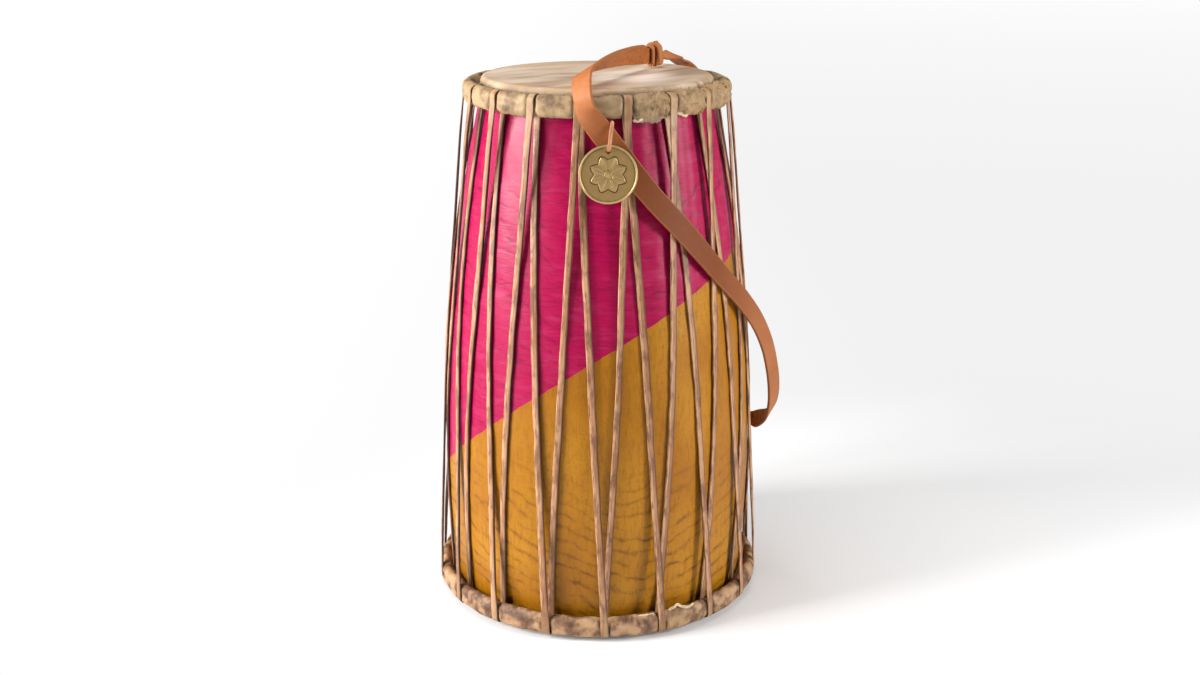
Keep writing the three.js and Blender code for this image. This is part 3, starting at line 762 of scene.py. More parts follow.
@dataclass(frozen=True)
class Leather:
    """Vegetable-tanned strap leather: a satin grain face, a browner flecked flesh side and plain cut edges.

    The layers along, across and rise give the place on the strap: millimetres from the knot, and shares of
    its width and thickness. The face is a darker brown in a band from a set distance along the strap, less
    so further on.
    """

    name: str = "tan_leather"
    face: str = "#a66238"
    light: str = "#b67447"
    worn: str = "#6e3615"
    shadow: str = "#8c4d28"
    flesh: str = "#a8622f"
    fleck: str = "#713f1d"
    edge: str = "#9a6038"
    band_from: float = 205.0
    band_to: float = 262.0
    band_fade_from: float = 400.0
    band_fade_to: float = 520.0
    pore: float = 1.1
    specular: float = 0.17

    def make(self) -> Material:
        """Builds the material.

        Returns:
            The material.
        """
        s = Shade(bpy.data.materials.new(self.name))
        add = s.add
        place = add("TexCoord", out="Object")
        along, across, rise = (add(**LAYER, attribute_name=name) for name in ("along", "across", "rise"))
        # Noises: the size and the roughness of each
        cloud, scuff, fleck = (
            add("TexNoise", {"Vector": place, "Scale": per_metre(size), "Detail": 4.0, "Roughness": rough})
            for size, rough in ((30, 0.55), (6, 0.65), (3.6, 0.65))
        )
        # A darker brown band along the strap, set by distance from the knot, which eases off further on
        worn = add("MapRange", (along, self.band_from, self.band_to, 0, 0.9))
        band_kept = add("MapRange", (along, self.band_fade_from, self.band_fade_to, 1, 0.3))
        worn = add("Math", (worn, band_kept), **TIMES)
        flesh = s.coats(self.flesh, (fleck, 0.5, 0.63, 0.8, self.fleck))
        side = add("Math", (across,), operation="ABSOLUTE")
        cell = {"Vector": place, "Scale": per_metre(self.pore)}
        pore = add("TexVoronoi", cell, feature="DISTANCE_TO_EDGE")
        colour = s.coats(
            self.face,
            (cloud, 0.36, 0.64, 1, self.light),
            (worn, 0, 1, 1, self.worn),
            (scuff, 0.52, 0.72, 0.28, self.shadow),
            (rise, -0.7, -0.98, 1, flesh),
            (side, 0.94, 0.99, 0.7, self.edge),
            (pore, 0.1, 0, 0.22, self.shadow),
        )
        ridge = add("MapRange", (pore, 0.0, 0.3, 0, 1))
        ridge = add("Math", (cloud, 1.2, ridge), **TIMES_PLUS)
        rough = add("MapRange", (cloud, 0.3, 0.7, 0.42, 0.56))
        sockets = {"Roughness": rough, "IOR": ORGANIC_IOR, "Specular IOR Level": self.specular}
        return s.surface(colour, ridge, 0.3, 0.2, sockets)


@dataclass(frozen=True)
class AgedBrass:
    """Stamped brass: an even olive skin, brighter on the high places and a little darker in the hollows.

    The layer relief is 0 in the hollows and 1 on the high places.
    """

    bright: str = "#d6bd86"
    body: str = "#b09260"
    hollow: str = "#a08352"
    groove: str = "#4e3b1c"
    grit: float = 4.0
    metallic: float = 0.8

    def make(self) -> Material:
        """Builds the material.

        Returns:
            The material.
        """
        s = Shade(bpy.data.materials.new("aged_brass"))
        add = s.add
        place = add("TexCoord", out="Object")
        noise = {"Vector": place, "Scale": per_metre(self.grit), "Detail": 5.0, "Roughness": 0.65}
        cloud = add("TexNoise", noise)
        worn = add("Math", (cloud, 0.5, add(**LAYER, attribute_name="relief")), **TIMES_PLUS)
        colour = s.coats(
            self.hollow,
            (worn, 0.2, 0.55, 1, self.body),
            (worn, 0.75, 1.2, 1, self.bright),
            (worn, 0.14, -0.2, 0.85, self.groove),
        )
        rough = add("MapRange", (worn, 0.2, 1.1, 0.6, 0.36))
        sockets = {"Roughness": rough, "Metallic": self.metallic}
        return s.surface(colour, cloud, 0.35, 0.15, sockets)


@dataclass(frozen=True)
class BareCane:
    """Split cane: straw-coloured, with long darker fibres."""

    straw: str = "#c8a468"
    fibre: str = "#8f6c38"
    fibre_width: float = 1.2
    roughness: float = 0.5

    def make(self) -> Material:
        """Builds the material.

        Returns:
            The material.
        """
        s = Shade(bpy.data.materials.new("bare_cane"))
        add = s.add
        place = add("VectorMath", (add("TexCoord", out="Object"), LEVEL), **TIMES)
        fibre = add("TexNoise", {"Vector": place, "Scale": per_metre(self.fibre_width), "Detail": 4.0})
        colour = s.coats(self.straw, (fibre, 0.45, 0.7, 1, self.fibre))
        sockets = {"Roughness": self.roughness, "IOR": ORGANIC_IOR}
        return s.surface(colour, fibre, 0.4, 0.2, sockets)


TOP_HIDE = ScrapedHide(
    name="scraped_hide_top", pale="#dcc8b2", middle="#c4a98d", dark="#9b7f66", rim="#b3946c",
    roll_pale="#ab8f6a", roll_middle="#987a56", roll_dark="#5e452d",
)
BOTTOM_HIDE = ScrapedHide(
    name="scraped_hide_bottom", pale="#cbb291", middle="#ab8f70", dark="#80664a", rim="#d2b58f",
    roll_pale="#b8926c", roll_middle="#8b6547", roll_dark="#4e3222", blotch=12.0,
)
SCRAP_HIDE = replace(TOP_HIDE, name="torn_hide_pale", torn_pale="#e2cda8", torn_dark="#a98459")
FLAP_HIDE = replace(TOP_HIDE, name="torn_hide_dull", torn_pale="#917660", torn_dark="#624b39")
# The medallion's cord, with the same painted highlight and shade along its sides
PALE_THONG = Thong(name="pale_thong", body="#c9895a", rubbed_and_lit="#dda878", brown_and_shade="#99603a", edge="#6e4527")


def dress(piece: Piece, material: Material, body: Body, slot: Slot, *stands_for: str) -> Piece:
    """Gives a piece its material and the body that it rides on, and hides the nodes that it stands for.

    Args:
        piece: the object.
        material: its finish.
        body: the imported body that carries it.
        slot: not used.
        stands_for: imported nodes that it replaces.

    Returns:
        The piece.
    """
    piece.data.materials.clear()
    piece.data.materials.append(material)
    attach(piece, body.value)
    if stands_for:
        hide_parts(*stands_for)
    log.info("%s rides on %s, %d faces", piece.name, body.value, len(piece.data.polygons))
    return piece


# The barrel


@dataclass(frozen=True)
class Barrel:
    """The hollow wooden shell."""

    height: float = 490.0
    belly_radius: float = 145.0
    belly_height: float = 130.0
    top_radius: float = 102.6
    bottom_radius: float = 137.5
    wall: float = 11.0
    rim_depth: float = 2.1
    edge_round: float = 2.4
    line_mean: float = 226.2
    line_slope: float = 114.6
    line_front: float = 35.6
    line_twist: float = -14.2
    carving: float = 0.35
    mark_height: float = 60.0
    mark_waves: float = 4.0
    columns: int = 320
    rows: int = 220
    lip_rows: int = 5
    inner_rows: int = 24

    def radius(self, height: Array) -> Array:
        """Outer radius: two half parabolas that meet at the belly.

        Args:
            height: heights on the drum.

        Returns:
            The radius at each.
        """
        height = np.asarray(height, float)
        upper = height > self.belly_height
        end = np.where(upper, self.top_radius, self.bottom_radius)
        up_reach = self.height - self.rim_depth - self.belly_height
        reach = np.where(upper, up_reach, self.belly_height - self.rim_depth)
        share = (height - self.belly_height) / reach
        return self.belly_radius - (self.belly_radius - end) * share ** 2

    def paint_line(self, turn: Array) -> Array:
        """Height of the edge of the magenta paint: a slanting line round the drum.

        It is the mean height, plus one sine and one cosine of the turn, plus a sine of twice the turn.

        Args:
            turn: turns in degrees.

        Returns:
            The height at each.
        """
        angle = np.radians(turn)
        slant = self.line_slope * np.sin(angle) + self.line_front * np.cos(angle)
        return self.line_mean + slant + self.line_twist * np.sin(2 * angle)

    def build(self) -> Piece:
        """Builds the shell as a closed wall turned about the axis, with slight tool marks outside.

        Returns:
            The shell, with the layer above_line.
        """
        low, high = self.rim_depth, self.height - self.rim_depth
        lip = self.edge_round
        bend = np.radians(np.linspace(-90, 0, self.lip_rows))
        lip_r, lip_z = lip * (np.cos(bend) - 1), lip * (np.sin(bend) + 1)
        wall_z = np.linspace(low + lip, high - lip, self.rows)[1:-1]
        inner_z = np.linspace(high, low, self.inner_rows)
        height = np.concatenate([low + lip_z, wall_z, high - lip_z[::-1], inner_z])[:, None]
        bottom_r, top_r = self.radius(low + lip) + lip_r, self.radius(high - lip) + lip_r[::-1]
        radius = np.concatenate([bottom_r, self.radius(wall_z), top_r, self.radius(inner_z) - self.wall])
        carved = np.zeros_like(height)
        carved[self.lip_rows:self.lip_rows + len(wall_z)] = self.carving
        turn = np.arange(self.columns)[None] * 360 / self.columns
        angle = np.radians(turn)
        x, y = self.mark_waves * np.sin(angle), self.mark_waves * np.cos(angle)
        marks = ripple(Seed.TOOL_MARKS, x, y, height / self.mark_height)
        grid = around(turn, radius[:, None] + carved * marks, height)
        above = height - self.paint_line(turn)
        return swept_piece("barrel_shell", grid, {"above_line": above}, is_loop=True)


# The heads


@dataclass(frozen=True)
class DrumEnd:
    """One end of the drum: hide over the rim, and a rolled edge round a hoop.

    Depth is measured from the outer face of the head towards the middle of the drum.
    """

    barrel: Barrel
    is_top: bool
    hide: float = 1.8
    shoulder: float = 4.5
    roll_drop: float = 5.0
    valley: float = 12.0
    lap_gap: float = 1.5
    hoop_width: float = 5.0
    hoop_height: float = 12.4
    seat: float = 0.3
    lace_clearance: float = 0.8
    thong_thickness: float = 2.0
    lace_count: int = 18
    first_turn: float = -7.4
    pair_spacing: float = 1.0
    lace_points: int = 17

    def height(self, depth: Array) -> Array:
        """Height of a depth."""
        return self.barrel.height - depth if self.is_top else np.asarray(depth, float)

    def skirt(self, depth: Array) -> Array:
        """Radius of the hide's outer face where it lies on the shell."""
        return self.barrel.radius(self.height(depth)) + self.seat + self.hide

    @property
    def half_width(self) -> float:
        """Half the width of the rolled edge."""
        return self.hoop_width / 2 + self.seat + self.hide

    @property
    def straight(self) -> float:
        """Half the straight stretch of the rolled edge's section."""
        return (self.hoop_height - self.hoop_width) / 2

    @property
    def roll_depth(self) -> float:
        """Depth of the middle of the rolled edge."""
        return self.roll_drop + self.straight + self.half_width

    @property
    def roll_inner(self) -> float:
        """Inner radius of the rolled edge, which leaves a gap for the thong.

        Returns:
            The radius.
        """
        end = self.roll_drop + 2 * (self.straight + self.half_width)
        inside = max(float(self.barrel.radius(self.height(end))), float(self.skirt(self.valley)))
        return inside + self.thong_thickness + 2 * self.lace_clearance

    @property
    def roll_radius(self) -> float:
        """Radius of the middle of the rolled edge."""
        return self.roll_inner + self.half_width

    @property
    def lace_step(self) -> float:
        """Turn from one lace to the next."""
        return 360 / self.lace_count

    @property
    def pair_turn(self) -> float:
        """Half the turn between the two legs of a lace at this end."""
        return math.degrees(self.pair_spacing / self.roll_radius) / 2

    def lace_turn(self, number: int) -> float:
        """Turn of the middle of a lace at this end."""
        return self.first_turn + self.lace_step * (number + (0 if self.is_top else 0.5))

    def from_lace(self, turn: Array) -> Array:
        """Distance along the rolled edge from the nearest lace.

        Args:
            turn: turns in degrees.

        Returns:
            Millimetres, positive past the lace.
        """
        half = self.lace_step / 2
        away = np.mod(turn - self.lace_turn(0) + half, self.lace_step) - half
        return np.radians(away) * self.roll_radius

    def over_roll(self, number: int) -> Array:
        """The thong's way over the rolled edge, from the outer side to the inner side.

        It follows half a stadium round the hoop, and slants from one leg of the lace to the other.

        Args:
            number: which lace, counted from the first.

        Returns:
            Rows of radius, height and turn.
        """
        reach = self.half_width + self.lace_clearance + self.thong_thickness / 2
        angle = np.radians(np.linspace(0, 180, self.lace_points))
        radius = self.roll_radius + reach * np.cos(angle)
        depth = self.roll_depth - self.straight - reach * np.sin(angle)
        low = self.roll_depth + self.straight
        radius = np.concatenate([[radius[0]], radius, [radius[-1]]])
        depth = np.concatenate([[low], depth, [low]])
        run = distance_along(np.stack([radius, depth], axis=1))
        turn = self.lace_turn(number) + self.pair_turn * (2 * run / run[-1] - 1)
        return np.stack([radius, self.height(depth), turn], axis=1)


@dataclass(frozen=True)
class Head:
    """A hide head with its rolled edge, pressed in at the laces.

    hole_reach and slit_reach say how far from its middle a hole or a slit is full and where it ends,
    lace_press how far from a lace the lumps begin and where they are full.
    """

    end: DrumEnd
    name: str
    columns: int = 960
    dish: float = 0.22
    groove: float = 6.3
    groove_wander: float = 0.5
    torn_fill: float = 1.5
    pit: float = 12.5
    hole_off: float = 0.6
    hole_reach: Span = (2.9, 4.6)
    lump: float = 1.0
    torn_lump: float = 1.2
    puff: float = 0.8
    lace_press: Span = (2.9, 6.5)
    fold_spacing: float = 19.0
    slit_off: float = 3.2
    slit_reach: Span = (0.5, 1.3)
    slit_depth: float = 1.6
    ragged: float = 1.0
    ragged_turns: Span = (12.0, 84.0)
    ragged_fade: float = 14.0
    disc_rows: int = 26
    shoulder_rows: int = 8
    roll_rows: int = 15
    foot_rows: int = 13
    cavity_rows: int = 7
    bend_rows: int = 5

    def roughness(self, turn: Array) -> Array:
        """How torn the rolled edge is.

        Args:
            turn: turns in degrees.

        Returns:
            The share at each: 0 outside the ragged turns, and the head's most between them.
        """
        low, high = self.ragged_turns
        fade = self.ragged_fade
        place = np.mod(turn + 180, 360) - 180
        return self.ragged * smoothstep(place, low, low + fade) * falling(place, high - fade, high)

    def build(self) -> Piece:
        """Builds the skin as one closed surface turned about the axis.

        Its rows follow the section: the disc, the shoulder, the skirt, the groove, round the hoop, the cut
        lap, and back along the inner face. Lumps move the rolled edge out, and the groove is a deep pit
        where a thong goes down behind it.

        Returns:
            The head, with the layers rolled, rim and torn, and a layer of painted shade.
        """
        end = self.end
        turn = np.arange(self.columns)[None] * 360 / self.columns
        torn = self.roughness(turn)
        hole = falling(np.abs(end.from_lace(turn) - self.hole_off), *self.hole_reach)
        wander = self.groove_wander * round_ripple(Seed.GROOVE, turn, 6)
        shallow = self.groove - self.torn_fill * torn + wander
        valley = shallow + (self.pit - shallow) * hole
        worn = 0.6 + 0.4 * round_ripple(Seed.RIM_WEAR, turn, 9)
        fray = torn * np.clip(0.55 + 0.9 * round_ripple(Seed.FRAY, turn, 14), 0, 1)
        blank = np.zeros_like(turn)
        rows: list[tuple[Array, ...]] = []

        def row(
            radius: Values, depth: Values, rolled: Values = 0.0, painted_shade: Values = 0.0, rim: Values = 0.0
        ) -> None:
            """Adds a row of the section, all round."""
            rows.append(tuple(value + blank for value in (radius, depth, rolled, painted_shade, rim)))

        # The disc, with a slight hollow
        disc = float(end.skirt(end.shoulder)) - end.shoulder
        row(0.0, self.dish)
        for share in np.linspace(0.08, 1, self.disc_rows) ** 0.8:
            hollow = self.dish * (1 - share ** 4) * (1 + round_ripple(Seed.DISH, turn, 3 * share))
            pale = 0.6 * worn * float(smoothstep(share, 0.93, 1.0))
            frayed = 0.6 * fray * float(smoothstep(share, 0.9, 1.0))
            row(disc * share, hollow, frayed, rim=pale)
        # The shoulder, the skirt and the groove, with painted shade in the groove that is darkest at the
        # laces
        for bend in np.radians(np.linspace(-90, 0, self.shoulder_rows + 1)[1:]):
            below = float(smoothstep(bend, -1.2, 0))
            radius, depth = disc + end.shoulder * math.cos(bend), end.shoulder * (1 + math.sin(bend))
            row(radius, depth, np.maximum(0.6 * below, 0.75 * fray), rim=worn * (0.85 - 0.6 * below))
        for share in (0.35, 0.7, 1.0):
            depth = end.shoulder + (valley - end.shoulder) * share
            row(end.skirt(depth), depth, 0.6 + 0.4 * share, share * np.maximum(0.4 * (1 - torn), hole))
        middle = (end.skirt(valley) + end.roll_inner) / 2
        row(middle, valley + 0.3, 1.0, np.maximum(0.55 * (1 - torn), hole))
        self._roll(row, turn, valley, torn, hole)
        self._inner(row, disc)

        radius, depth, rolled, painted_shade, rim = (np.concatenate(part) for part in zip(*rows))
        order = slice(None, None, -1 if end.is_top else 1)
        grid = around(turn, radius, end.height(np.maximum(depth, 0)))[order]
        layers = {"rolled": np.clip(rolled, 0, 1), "painted_shade": painted_shade, "rim": rim, "torn": torn + 0 * rim}
        return turned_piece(self.name, grid, {key: value[order] for key, value in layers.items()})

    def _roll(self, row: Callable[..., None], turn: Array, valley: Array, torn: Array, hole: Array) -> None:
        """Adds the rows round the hoop, from the groove over the outside to the cut lap.

        A narrow slit opens beside each thong, where the hide was cut to pull it tight. Shade is painted near
        the groove, in the slits and under the foot.

        Args:
            row: adds one row.
            turn: turns of the columns.
            valley: depth of the groove.
            torn: how ragged the edge is.
            hole: 1 where a thong goes down.
        """
        end = self.end
        upper = end.roll_depth - end.straight
        lower = end.roll_depth + end.straight
        start = -np.pi + np.arcsin(np.clip((upper - valley) / end.half_width, 0, 0.95))
        gap = end.from_lace(turn)
        arc = np.radians(turn) * end.roll_radius
        clear = smoothstep(np.abs(gap), *self.lace_press)
        slit = falling(np.abs(gap - self.slit_off), *self.slit_reach)
        amplitude = self.lump * clear * (1 + self.torn_lump * torn)

        def swell(place: float) -> Array:
            """Outward lumps at one place of the section.

            Args:
                place: 0 to 1 over the top of the hoop, to 2 down its outside and to 3 round its foot.

            Returns:
                Millimetres at each column.
            """
            coarse = 0.55 + 0.45 * round_ripple(Seed.LUMPS, turn, 8, place * 1.6, octaves=3)
            fine = round_ripple(Seed.FINE_LUMPS, turn, 34, place * 4.0)
            crease = 1 - np.abs(np.sin(math.pi * (arc / self.fold_spacing + place * 0.9) + 0.8 * fine))
            folds = torn * (0.08 * fine + 1.25 * crease ** 3)
            return clear * self.puff + amplitude * (coarse + 0.1 * fine + folds)

        for share in np.linspace(0, 1, self.roll_rows):
            bend = start * (1 - share)
            cut = slit * float(smoothstep(share, 0.15, 0.35))
            size = end.half_width + swell(share) - self.slit_depth * cut
            # Painted shade near the groove, deepest where a thong goes down, and in the slits
            dark = 0.7 * np.maximum(hole, 0.35 * (1 - torn)) * float(falling(share, 0, 0.3))
            depth = upper + size * np.sin(bend)
            row(end.roll_radius + size * np.cos(bend), depth, 1.0, np.maximum(dark, cut))
        # Painted shade in the slits down the outside of the rolled edge
        for share in (0.25, 0.5, 0.75):
            cut = slit * (1 - share)
            size = end.half_width + swell(1 + share) - self.slit_depth * cut
            row(end.roll_radius + size, upper + (lower - upper) * share, 1.0, cut)
        # The foot hangs lower here and there, less where it is torn
        hang = clear * (0.9 + 0.8 * round_ripple(Seed.HANG, turn, 14)) * (0.9 - 0.6 * torn)
        for share in np.linspace(0, 1, self.foot_rows):
            bend = math.pi * share
            size = end.half_width + swell(2 + share) * (1 - share)
            depth = lower + size * math.sin(bend) + np.maximum(hang, 0) * math.sin(bend) ** 3
            # Painted shade under the foot of the rolled edge
            dark = 0.5 * float(smoothstep(share, 0.3, 1))
            row(end.roll_radius + size * math.cos(bend), depth, 1.0, dark)
        lap = end.valley + end.hide + end.lap_gap
        row(end.roll_inner, lap, 1.0)
        row(end.roll_inner + end.hide, lap, 1.0)

    def _inner(self, row: Callable[..., None], disc: float) -> None:
        """Adds the rows of the inner face, from the lap round the hoop's cavity back to the axis.

        Args:
            row: adds one row.
            disc: radius of the flat of the disc.
        """
        end = self.end
        size = end.hoop_width / 2 + end.seat
        upper = end.roll_depth - end.straight
        lower = end.roll_depth + end.straight
        for middle, first, last in ((lower, 180, 0), (upper, 0, -180)):
            for bend in np.radians(np.linspace(first, last, self.cavity_rows)):
                row(end.roll_radius + size * math.cos(bend), middle + size * math.sin(bend), 1.0)
        under = end.valley + end.hide
        row(end.roll_inner + end.hide, under, 1.0)
        row(end.barrel.radius(end.height(under)) + end.seat, under)
        inside = end.shoulder - end.hide
        for bend in np.radians(np.linspace(0, -90, self.bend_rows)):
            row(disc + inside * math.cos(bend), end.shoulder + inside * math.sin(bend))
        row(disc * 0.5, end.hide)
        row(0.0, end.hide)


@dataclass(frozen=True)
class Scrap:
    """A torn strip of hide on a rolled edge. Each place is a turn, a radius and a height."""

    name: str
    places: tuple[Triple, ...]
    width: float
    thickness: float = 0.9
    corner_share: float = 0.3
    lean: float = 0.0
    seed: int = 71
    spacing: float = 0.6
    end_share: float = 0.3
    uneven: float = 0.22
    uneven_length: float = 4.0
    wander: float = 0.12
    wander_length: float = 5.0

    def build(self) -> Piece:
        """Builds the strip: a thin band through its places, with torn edges and ends that run out thin.

        Returns:
            The strip, with the layers rolled and torn.
        """
        turn, radius, height = np.array(self.places).T
        lean = math.radians(self.lean)
        faces = around(turn, np.full_like(turn, math.cos(lean)), math.sin(lean))
        path = Path.through(around(turn, radius, height), faces, self.spacing)
        share = path.run / path.run[-1]
        bulge = np.sin(math.pi * np.clip(share, 0.02, 0.98)) ** 0.4
        body = self.end_share + (1 - self.end_share) * bulge
        width = self.width * body * (1 + self.uneven * ripple(self.seed, path.run / self.uneven_length))
        off = self.wander * self.width * ripple(self.seed + 1, path.run / self.wander_length)
        section = FlatSection.make(3, 3)
        at = path.at + path.across * off[:, None]
        corner = self.corner_share * self.thickness
        grid = section.carry(at, path.across, path.face, width, self.thickness, corner)
        ones = np.ones((1, len(section.side)))
        return swept_piece(self.name, grid, {"rolled": ones, "torn": ones})


SCRAPS = (
    Scrap("top_hide_flap", (
        (14.9, 118.7, 468.8), (18, 119, 468.2), (23, 118.8, 467.8), (27, 118.4, 468.3), (29.8, 117.6, 469),
    ), width=10.0, thickness=1.2),
    Scrap("top_hide_strand", (
        (14.6, 119.6, 466.2), (16.4, 120.1, 465.2), (18.6, 119.7, 466.8),
    ), width=3.0, seed=73),
    Scrap("top_hide_shred", (
        (34.8, 119.4, 470), (37, 119.9, 468.6), (40, 119.5, 468.4), (43, 118.6, 469.8),
    ), width=4.6, seed=75),
    Scrap("bottom_hide_strand_1", (
        (13.6, 150.3, 22.3), (15.8, 151.4, 23.3), (18, 151, 22.2), (20.2, 151.5, 23.3),
    ), width=1.9, lean=40.0, seed=77),
    Scrap("bottom_hide_strand_2", (
        (15.4, 152, 21.5), (17.6, 152.5, 20.8), (20.4, 151.8, 22.4),
    ), width=1.5, lean=30.0, seed=79),
    Scrap("bottom_hide_curl_1", (
        (25.4, 150.4, 22.2), (27.2, 151.6, 25.4), (28.8, 151.2, 26.8), (30.4, 151.9, 24.6),
        (32.4, 151, 22.4),
    ), width=2.8, lean=25.0, seed=81),
    Scrap("bottom_hide_curl_2", (
        (30.8, 151.3, 23.2), (33, 152.3, 21.9), (35.6, 151.4, 23.6),
    ), width=2.3, lean=35.0, seed=83),
)


# The lacing


@dataclass(frozen=True)
class Lacing:
    """One thong that goes over and behind the two rolled edges by turns, all round the drum.

    It is pressed flat where it goes over them, and takes on their colour between each pair of heights.
    """

    barrel: Barrel
    top: DrumEnd
    bottom: DrumEnd
    width: float = 6.1
    thickness: float = 2.1
    corner: float = 0.55
    press: float = 0.65
    press_widen: float = 0.12
    press_thin: float = 0.36
    lie: float = 1.5
    twist: float = 11.0
    twist_length: float = 90.0
    wander: float = 0.7
    wander_length: float = 120.0
    uneven: float = 0.10
    wide_length: float = 70.0
    thick_length: float = 40.0
    first_lace: int = 9
    tail: float = 34.0
    tail_gap: float = 1.6
    tie_drop: float = 44.0
    eye_lace: int = 6
    eye_height: float = 145.0
    eye_reach: float = 6.5
    run_points: int = 48
    weather_top: Span = (450.0, 473.0)
    weather_bottom: Span = (16.0, 36.0)
    weather_low: float = 0.6

    def taut(self, start: Array, stop: Array) -> Array:
        """A taut run between two places, over the barrel where the barrel is in the way.

        In section it leaves each end along the steepest line that clears the barrel, and between the two
        tangent points it lies on it.

        Args:
            start: radius, height and turn of one end.
            stop: those of the other end.

        Returns:
            Rows of radius, height and turn, with both ends.
        """
        height = np.linspace(start[1], stop[1], self.run_points)
        under = self.barrel.radius(height) + self.lie
        under[0], under[-1] = start[0], stop[0]
        run = np.abs(height - height[0])
        leave = np.argmax((under[1:] - under[0]) / run[1:]) + 1
        land = np.argmax((under[:-1] - under[-1]) / (run[-1] - run[:-1]))
        radius = under.copy()
        radius[:leave + 1] = np.interp(run[:leave + 1], run[[0, leave]], under[[0, leave]])
        if land > leave:
            radius[land:] = np.interp(run[land:], run[[land, -1]], under[[land, -1]])
        turn = np.interp(run, run[[0, -1]], [start[2], stop[2]])
        return np.stack([radius, height, turn], axis=1)

    def rising(self, number: int) -> Array:
        """The run from behind the bottom edge up to the outside of the next top lace.

        The run that holds the strap's lower eye is drawn out to it.

        Args:
            number: which bottom lace it leaves.

        Returns:
            Rows of radius, height and turn, with both ends.
        """
        start = self.bottom.over_roll(number)[-1]
        stop = self.top.over_roll(number + 1)[0]
        if (number + 1) % self.top.lace_count != self.eye_lace:
            return self.taut(start, stop)
        share = (self.eye_height - start[1]) / (stop[1] - start[1])
        turn = start[2] + (stop[2] - start[2]) * share
        eye = np.array([float(self.barrel.radius(self.eye_height)) + self.eye_reach, self.eye_height, turn])
        return np.concatenate([self.taut(start, eye)[:-1], self.taut(eye, stop)])

    def route(self) -> tuple[Array, Array]:
        """The whole thong, from its tail to its other end beside the tail.

        Returns:
            Rows of radius, height and turn, and how free each row is: 0 on the rolled edges, 1 in the middle
            of a run.
        """
        first = self.top.over_roll(self.first_lace)[0]
        parts = [np.array([[first[0], first[1] - self.tail, first[2]]])]
        free = [np.zeros(1)]
        last = self.first_lace + self.top.lace_count - 1
        for number in range(self.first_lace, last + 1):
            over_top = self.top.over_roll(number)
            over_bottom = self.bottom.over_roll(number)
            fall = self.taut(over_top[-1], over_bottom[0])
            rise = self.rising(number)
            climb = rise[1:-1] if number < last else self._last(rise)
            for part, is_run in ((over_top, 0), (fall[1:-1], 1), (over_bottom, 0), (climb, 1)):
                parts.append(part)
                free.append(is_run * np.sin(np.linspace(0, math.pi, len(part) + 2)[1:-1]))
        return np.concatenate(parts), np.concatenate(free)

    def _last(self, rise: Array) -> Array:
        """The last run up, which ends beside the tail, one thong away.

        Args:
            rise: the run as it would be, with both ends.

        Returns:
            Rows of radius, height and turn, without the first.
        """
        radius, height, turn = rise[-1]
        beside = turn - math.degrees((self.width + self.tail_gap) / radius)
        low = height - self.tail
        kept = rise[1:-1][rise[1:-1, 1] < low - self.tail]
        return np.concatenate([kept, [[radius, low, beside], [radius, low + self.tail / 2, beside]]])

    def build(self) -> Piece:
        """Builds the thong: a rounded strip whose width and twist wander a little along each run.

        Returns:
            The thong, with the layers along, across, rise and weather.
        """
        route, free = self.route()
        radius, height, turn = route.T
        at = around(turn, radius, height)
        along = headings(at)
        across = around(turn - 90, 1.0, 0.0)
        across = unit(across - along * np.sum(across * along, axis=1, keepdims=True))
        face = np.cross(along, across)
        outward = np.sum(face * around(turn, 1.0, 0.0), axis=1)
        run = distance_along(at)
        twist = (np.radians(self.twist) * free * ripple(Seed.TWIST, run / self.twist_length))[:, None]
        wander = self.wander * free * ripple(Seed.WANDER, run / self.wander_length)
        pressed = falling(free, 0, 0.3)
        width = 1 + self.uneven * ripple(Seed.WIDTH, run / self.wide_length) + self.press_widen * pressed
        thinner = self.press_thin * pressed
        thickness = 1 + self.uneven * ripple(Seed.THICKNESS, run / self.thick_length) - thinner
        towards_hoop = np.where(height > self.barrel.height / 2, -1, 1)
        at = at + across * wander[:, None]
        at = at + face * (self.press * pressed * towards_hoop)[:, None]
        turned = across * np.cos(twist) + face * np.sin(twist)
        face = face * np.cos(twist) - across * np.sin(twist)
        section = FlatSection.make(2, 4)
        grid = section.carry(at, turned, face, self.width * width, self.thickness * thickness, self.corner)
        seen = section.rise[None] * np.clip(3 * outward, -1, 1)[:, None]
        weather = np.maximum(
            smoothstep(height, *self.weather_top), self.weather_low * falling(height, *self.weather_bottom)
        )
        layers = section.layers(run) | {"rise": seen, "weather": weather[:, None]}
        return swept_piece("lacing_strip", grid, layers)

    def tie(self) -> Binding:
        """The winding that ties the two ends of the thong.

        Returns:
            The winding, over the tail and the other end beside it.
        """
        route, _ = self.route()
        turn = (route[0, 2] + route[-1, 2] - 360) / 2
        centre = around(turn, route[0, 0], self.barrel.height - self.tie_drop)
        return Binding(
            "lacing_tie", centre, UP, around(turn + 90, 1.0, 0.0), core=12.4, core_thickness=2.6,
            width=5.0, thickness=1.8, turns=2.0,
        )


